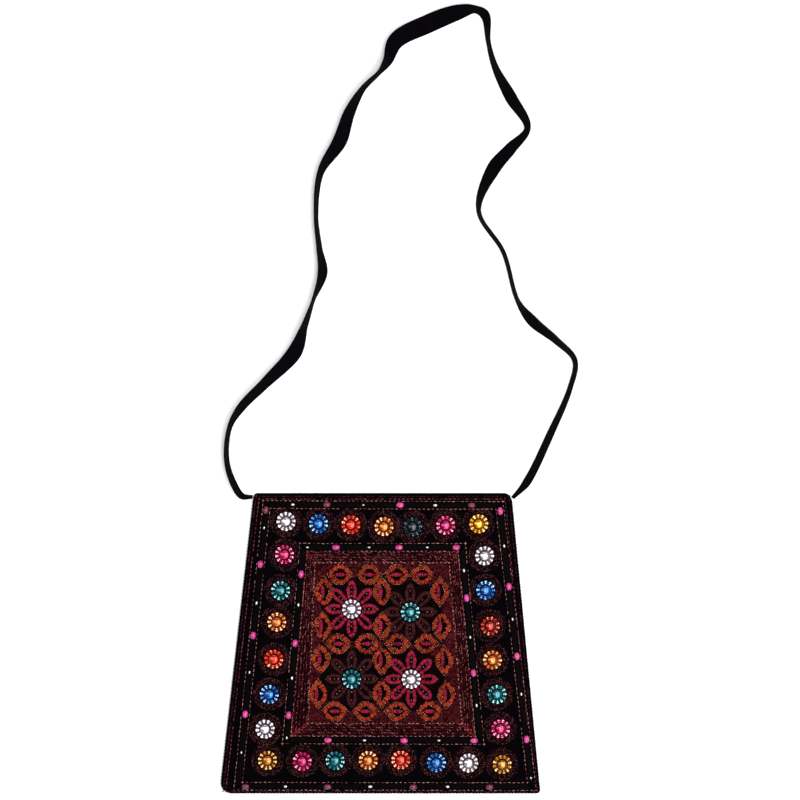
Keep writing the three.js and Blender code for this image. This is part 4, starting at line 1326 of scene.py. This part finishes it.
def pointed_loop(x, y, kind, grow, steps=20):
    """A closed loop, pointed at its two far ends, set in or out from a ring's outer edge by grow."""
    half_long = RING_SHAPES[kind][0] + TIP_GROWTH * grow
    along = half_long * np.cos(np.arange(steps) / steps * math.pi)
    wide = pointed_width(along, kind, grow)
    long_way, short_way = np.concatenate([along, -along]), np.concatenate([wide, -wide])
    dx, dy = (long_way, short_way) if kind == "lying" else (short_way, long_way)
    return np.stack([x + dx, y + dy], -1) * MM


ring_bands, ring_outlines, ring_hearts, ring_dashes = [], [], [], []
rng = np.random.default_rng(21)
for kind, places in (("lying", LYING_RINGS), ("standing", STANDING_RINGS)):
    lying = kind == "lying"
    for x, y in places:
        grow = rng.uniform(-0.2, 0.2)
        ring_bands.append(guide(pointed_loop(x, y, kind, grow - RING_BAND / 2), True, 0.25 * MM))
        ring_outlines.append(guide(pointed_loop(x, y, kind, grow + 0.25), True, 0.2 * MM))
        ring_dashes.append(guide(pointed_loop(x, y, kind, grow - RING_BAND - 0.4), True, 0.15 * MM))
        heart_long = 4.1 if lying else 4.9
        heart = np.linspace(-heart_long, heart_long, 9)
        shift = 0.0 if lying else -1.2
        flat = np.stack([x + heart, y + 0 * heart] if lying else [x + shift + 0 * heart, y + heart], -1) * MM
        reach = np.sqrt(np.clip(1 - (heart / heart_long) ** 2, 0.12, 1))
        ring_hearts.append(guide(flat, lift=0.2 * MM, reach=reach))
sew("ring_satin", ring_bands, "thread_rust", rust_thread, LONG_FORM, pitch=0.52, length=RING_BAND, width=0.62,
    height=0.6, slant=90, slant_spread=0.12, length_spread=0.12, seed=23)
sew("ring_outline_stitches", ring_outlines, "thread_tan", pale_thread, SHORT_FORM,
    pitch=1.7, length=1.0, width=0.42, side_spread=0.15, length_spread=0.3, missing=0.2, seed=25)
sew("ring_inner_stitches", ring_dashes, "thread_tan", pale_thread, SHORT_FORM,
    pitch=2.0, length=1.2, width=0.42, side_spread=0.15, length_spread=0.3, missing=0.35, seed=27)
sew("ring_hearts", ring_hearts, "thread_crimson", crimson_thread, LONG_FORM,
    pitch=0.55, length=3.5, width=0.62, height=0.6, slant=90, slant_spread=0.1, length_spread=0.1, seed=29)

# %% [markdown]
# ## Flowers
# Each of the four centre stones is the heart of a flower with eight petals. A petal is a satin band bent
# into a loop that leaves a narrow slot. The petals that point up, down and sideways are pointed and the
# four between them are blunt. Two flowers are crimson and two dark brown. Short stitches run down the
# middle of each petal.

# %% Petals
brown_thread = thread("brown thread", srgb(16, 2, 4), srgb(64, 22, 26), turns=5, roughness=0.5, bias=0.9)
PETAL_BASE = 8.6
PETAL_TIP = 21.3
PETAL_BASE_HALF = 2.0
PETAL_HALF_WIDTH = 2.9
PETAL_BAND = 2.9
# How blunt a petal's tip is: the petals that point up, down and sideways come to a point, the others don't
TIP_POWERS = (1.7, 3.2)


def petal_loop(x, y, turn, tip, power):
    """The middle line of a petal's satin band, from its base up one side to the tip and down the other."""
    share = np.linspace(0, 1, 14)
    grown = PETAL_BASE_HALF + (PETAL_HALF_WIDTH - PETAL_BASE_HALF) * np.clip(share / 0.5, 0, 1)
    wide = grown * (1 - np.clip((share - 0.5) / 0.5, 0, 1) ** power)
    up_side = np.stack([PETAL_BASE + share * (tip - PETAL_BASE), wide], -1)
    down_side = np.stack([up_side[::-1, 0], -up_side[::-1, 1]], -1)[1:]
    local = np.concatenate([up_side, down_side])
    cos, sin = math.cos(turn), math.sin(turn)
    turned_x = x + local[:, 0] * cos - local[:, 1] * sin
    turned_y = y + local[:, 0] * sin + local[:, 1] * cos
    return np.stack([turned_x, turned_y], -1) * MM


petals = {"crimson": [], "brown": []}
petal_dashes = []
# How far from the flower's middle the slot of a petal starts and ends
SLOT_ENDS = (10.5, 17)
for number, (x, y, colour_name) in enumerate(FLOWERS):
    sx, sy = (v / MM for v in stone_places[f"stone_centre_{number + 1}"])
    for k in range(8):
        turn = k * math.pi / 4
        tip = PETAL_TIP + (0.9 if k in (2, 6) else 0) - (0.9 if k in (0, 4) else 0)
        petals[colour_name].append(guide(petal_loop(sx, sy, turn, tip, TIP_POWERS[k % 2]), lift=0.25 * MM))
        ray = np.array([math.cos(turn), math.sin(turn)])
        near, far = (np.array([sx, sy]) + ray * reach for reach in SLOT_ENDS)
        petal_dashes.append(straight(near * MM, far * MM, 0.1 * MM))
for colour_name, petal_thread, slot_name in (("crimson", crimson_thread, "thread_crimson"),
                                             ("brown", brown_thread, "thread_brown")):
    sew(f"{colour_name}_petals", petals[colour_name], slot_name, petal_thread, LONG_FORM, pitch=0.52,
        length=PETAL_BAND, width=0.62, height=0.6, slant=90, slant_spread=0.14, length_spread=0.12, seed=31)
sew("petal_dashes", petal_dashes, "thread_tan", pale_thread, SHORT_FORM, pitch=2.2, length=1.2, width=0.42,
    missing=0.25, seed=33)
# One thread has come loose beside the upper right flower.
loose_thread = straight(np.array([30.4, 17.4]) * MM, np.array([37.4, 7.2]) * MM, 0.6 * MM)
sew("loose_thread", [loose_thread], "thread_rust", rose_thread, LONG_FORM, pitch=1.5, length=2.0, width=0.3,
    slant_spread=0, length_spread=0, seed=37)

# %% [markdown]
# ## Silver seed beads
# Between the pink beads, tiny silver-lined glass seeds sit on the ribbons. They are too small for the part
# itself. A second small tree sets one bead form on each point, turned along its ribbon.

# %% Seed tree
def build_seed_tree():
    inputs = {"Geometry": ("NodeSocketGeometry", None), "Form": ("NodeSocketObject", None),
              "Seed Length": ("NodeSocketFloat", 0.002), "Seed Width": ("NodeSocketFloat", 0.0015),
              "Size Spread": ("NodeSocketFloat", 0.2), "Seed": ("NodeSocketInt", 1),
              "Glass": ("NodeSocketMaterial", None)}
    tree, enter, leave = new_group("Seeds on points", inputs, {"Geometry": "NodeSocketGeometry"},
                                   "GeometryNodeTree")
    given = enter.outputs
    way = named_value(tree, "way", "FLOAT_VECTOR")
    aligned = place(tree, "FunctionNodeAlignRotationToVector", {"Vector": way}, axis="X")
    feeds = {2: -1.0, 3: 1.0, "Seed": given["Seed"]}
    spread = place(tree, "FunctionNodeRandomValue", feeds, data_type="FLOAT")
    grow = math_node(tree, "MULTIPLY_ADD", spread.outputs[1], given["Size Spread"], 1.0)
    long_way = math_node(tree, "MULTIPLY", given["Seed Length"], grow)
    wide_way = math_node(tree, "MULTIPLY", given["Seed Width"], grow)
    size = place(tree, "ShaderNodeCombineXYZ", {0: long_way, 1: wide_way, 2: wide_way})
    form = place(tree, "GeometryNodeObjectInfo", {"Object": given["Form"]})
    set_down = place(tree, "GeometryNodeInstanceOnPoints", {
        "Points": given["Geometry"], "Instance": form.outputs["Geometry"], "Rotation": aligned.outputs[0],
        "Scale": size.outputs[0]})
    real_mesh = place(tree, "GeometryNodeRealizeInstances", {"Geometry": set_down.outputs[0]})
    dyed = place(tree, "GeometryNodeSetMaterial",
                 {"Geometry": real_mesh.outputs[0], "Material": given["Glass"]})
    tree.links.new(dyed.outputs[0], leave.inputs["Geometry"])
    return tree


# %% Silver seeds
SEED_STATIONS = ((-0.42, 0.3), (-0.5, 0.6), (-0.4, 0.9), (-0.15, 1), (0.15, 1), (0.4, 0.9), (0.5, 0.6),
                 (0.42, 0.3))
SEED_FORM = thread_form("seed form", SEED_STATIONS, 12)
# Places along each side as shares: left to right, or from the mouth down
SILVER_SEEDS = {
    "outer": {"top": (0.113, 0.416, 0.724), "left": (0.083, 0.349, 0.595, 0.88),
              "bottom": (0.161, 0.45, 0.713), "right": (0.144, 0.404, 0.671, 0.969)},
    "inner": {"top": (0.025, 0.414, 0.782), "left": (0.298, 0.678, 0.989), "bottom": (0.403, 0.788),
              "right": (0.12, 0.464, 0.818)},
}
silver_glass, silver_tree, silver_shader = new_material(
    "silver glass", srgb(214, 212, 208), Metallic=0.7, Roughness=0.16, Coat_Weight=1.0, Coat_Roughness=0.04)
silver_cloud = use_group(silver_tree, WEAR, {"Vector": pattern_place(silver_tree, "Object"), "Scale": 900.0})
silver_wear = silver_cloud.outputs["Wear"]
silver_colour = mix_colours(silver_tree, silver_wear, srgb(150, 148, 146), srgb(240, 238, 234))
silver_tree.links.new(silver_colour, silver_shader.inputs["Base Color"])

seed_points, seed_ways = [], []
for which, sides in SILVER_SEEDS.items():
    corners = ribbon_frames[which]
    for place_name, shares in sides.items():
        first, last = FRAME_SIDES[place_name]
        way = (corners[last] - corners[first]) / np.linalg.norm(corners[last] - corners[first])
        for share in shares:
            x, y = corners[first] + share * (corners[last] - corners[first])
            z = float(front_surface(x, y)) + PIECE_GAP + RIBBON_THICKNESS + 0.55 * MM
            seed_points.append((x, y, z))
            seed_ways.append((*way, 0.0))
seed_mesh = bpy.data.meshes.new("seed places")
seed_mesh.from_pydata(seed_points, [], [])
set_attribute(seed_mesh, "way", seed_ways, "FLOAT_VECTOR")
silver_seeds = run_tree("silver_seeds", build_seed_tree(), seed_mesh, {
    "Form": SEED_FORM, "Seed Length": 2.5 * MM, "Seed Width": 1.7 * MM, "Size Spread": 0.25, "Seed": 4,
    "Glass": silver_glass})
keep(silver_seeds, None, "silver_bead")
print(len(seed_points), "silver seeds")

# %% [markdown]
# ## Seams
# The two walls are sewn together down the sides and along the bottom with black overcast stitches that wrap
# the joined edges. They hardly show from the front and finish the sides.

# %% Seam stitches
seam_thread = thread("black thread", srgb(6, 5, 7), srgb(24, 20, 24), turns=4)


def seam_line(side):
    y = np.linspace(-POUCH_HEIGHT / 2 + 3 * MM, FRONT_TOP - 6 * MM, 60)
    return np.stack([rounded_edge(side, y, FRONT_TOP) - side * 0.4 * MM, y], -1)


bottom_x = np.linspace(-BOTTOM_WIDTH / 2 + 10 * MM, BOTTOM_WIDTH / 2 - 4 * MM, 70)
seam_guides = [guide(seam_line(-1), lift=-1.1 * MM), guide(seam_line(1), lift=-1.1 * MM),
               guide(np.stack([bottom_x, 0 * bottom_x - POUCH_HEIGHT / 2 + 0.4 * MM], -1), lift=-1.1 * MM)]
sew("seam_stitches", seam_guides, "thread_maroon", seam_thread, LONG_FORM, pitch=2.6, length=2.2, width=0.55,
    height=2.6, slant=72, slant_spread=0.1, seed=35)

# %% [markdown]
# ## Floor and light
# The bag was photographed on plain white, and its black cloth shows no shine. Here it lies on a pale floor.
# A long narrow light overhead is what the stones mirror as bright windows. The main light stands off to the
# right, so that the cloth doesn't mirror it, and three weaker ones on the other sides fill the shadows. All
# are hidden from the camera, so no view shows them.

# %% Floor and lights
for form in (LONG_FORM, SHORT_FORM, SEED_FORM):
    bpy.data.objects.remove(form)

FLOOR_HALF = 4.0
floor_corners = [(x * FLOOR_HALF, y * FLOOR_HALF, 0) for x, y in ((-1, -1), (1, -1), (1, 1), (-1, 1))]
floor = new_object("floor", floor_corners, [(0, 1, 2, 3)], smooth=False)
paper, _, _ = new_material("white paper", (0.93, 0.93, 0.93, 1.0), Roughness=0.9, Specular_Ior_Level=0.1)
floor.data.materials.append(paper)
floor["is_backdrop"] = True


def soft_light(name, width, length, place_at, look_at, radiance):
    """A rectangular light of a given brightness of its face, hidden from the camera."""
    data = bpy.data.lights.new(name, "AREA")
    data.shape, data.size, data.size_y = "RECTANGLE", width, length
    data.energy = radiance * math.pi * width * length
    light = bpy.data.objects.new(name, data)
    light.location = place_at
    heading = Vector(look_at) - Vector(place_at)
    light.rotation_euler = heading.to_track_quat("-Z", "Y").to_euler()
    light.visible_camera = False
    scene.collection.objects.link(light)
    return light


# Name, width and length, place, the place it looks at, and how bright its face is
soft_light("window light", 0.5, 1.9, (0.3, -0.05, 2.1), (0.3, 0.1, 0), 10)
soft_light("main light", 3.0, 0.8, (1.1, -0.1, 1.7), (0.12, 0.1, 0), 5)
soft_light("left light", 0.8, 2.4, (-1.25, 0.3, 1.6), (0, 0.1, 0), 3.2)
soft_light("far light", 2.2, 0.6, (0.0, 2.2, 1.5), (0, 0.1, 0), 2.6)
soft_light("near light", 2.2, 0.6, (0.0, -2.0, 1.5), (0, 0.0, 0), 2.6)
world = bpy.data.worlds.new("room")
world.use_nodes = True
world.node_tree.nodes["Background"].inputs["Color"].default_value = (1, 1, 1, 1)
world.node_tree.nodes["Background"].inputs["Strength"].default_value = 0.3
scene.world = world
scene.view_settings.view_transform = "Standard"

# %% Measure and finish
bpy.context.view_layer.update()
meshes = [piece.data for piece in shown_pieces() if piece.type == "MESH"]
print("triangles:", sum(len(face.vertices) - 2 for mesh in meshes for face in mesh.polygons))
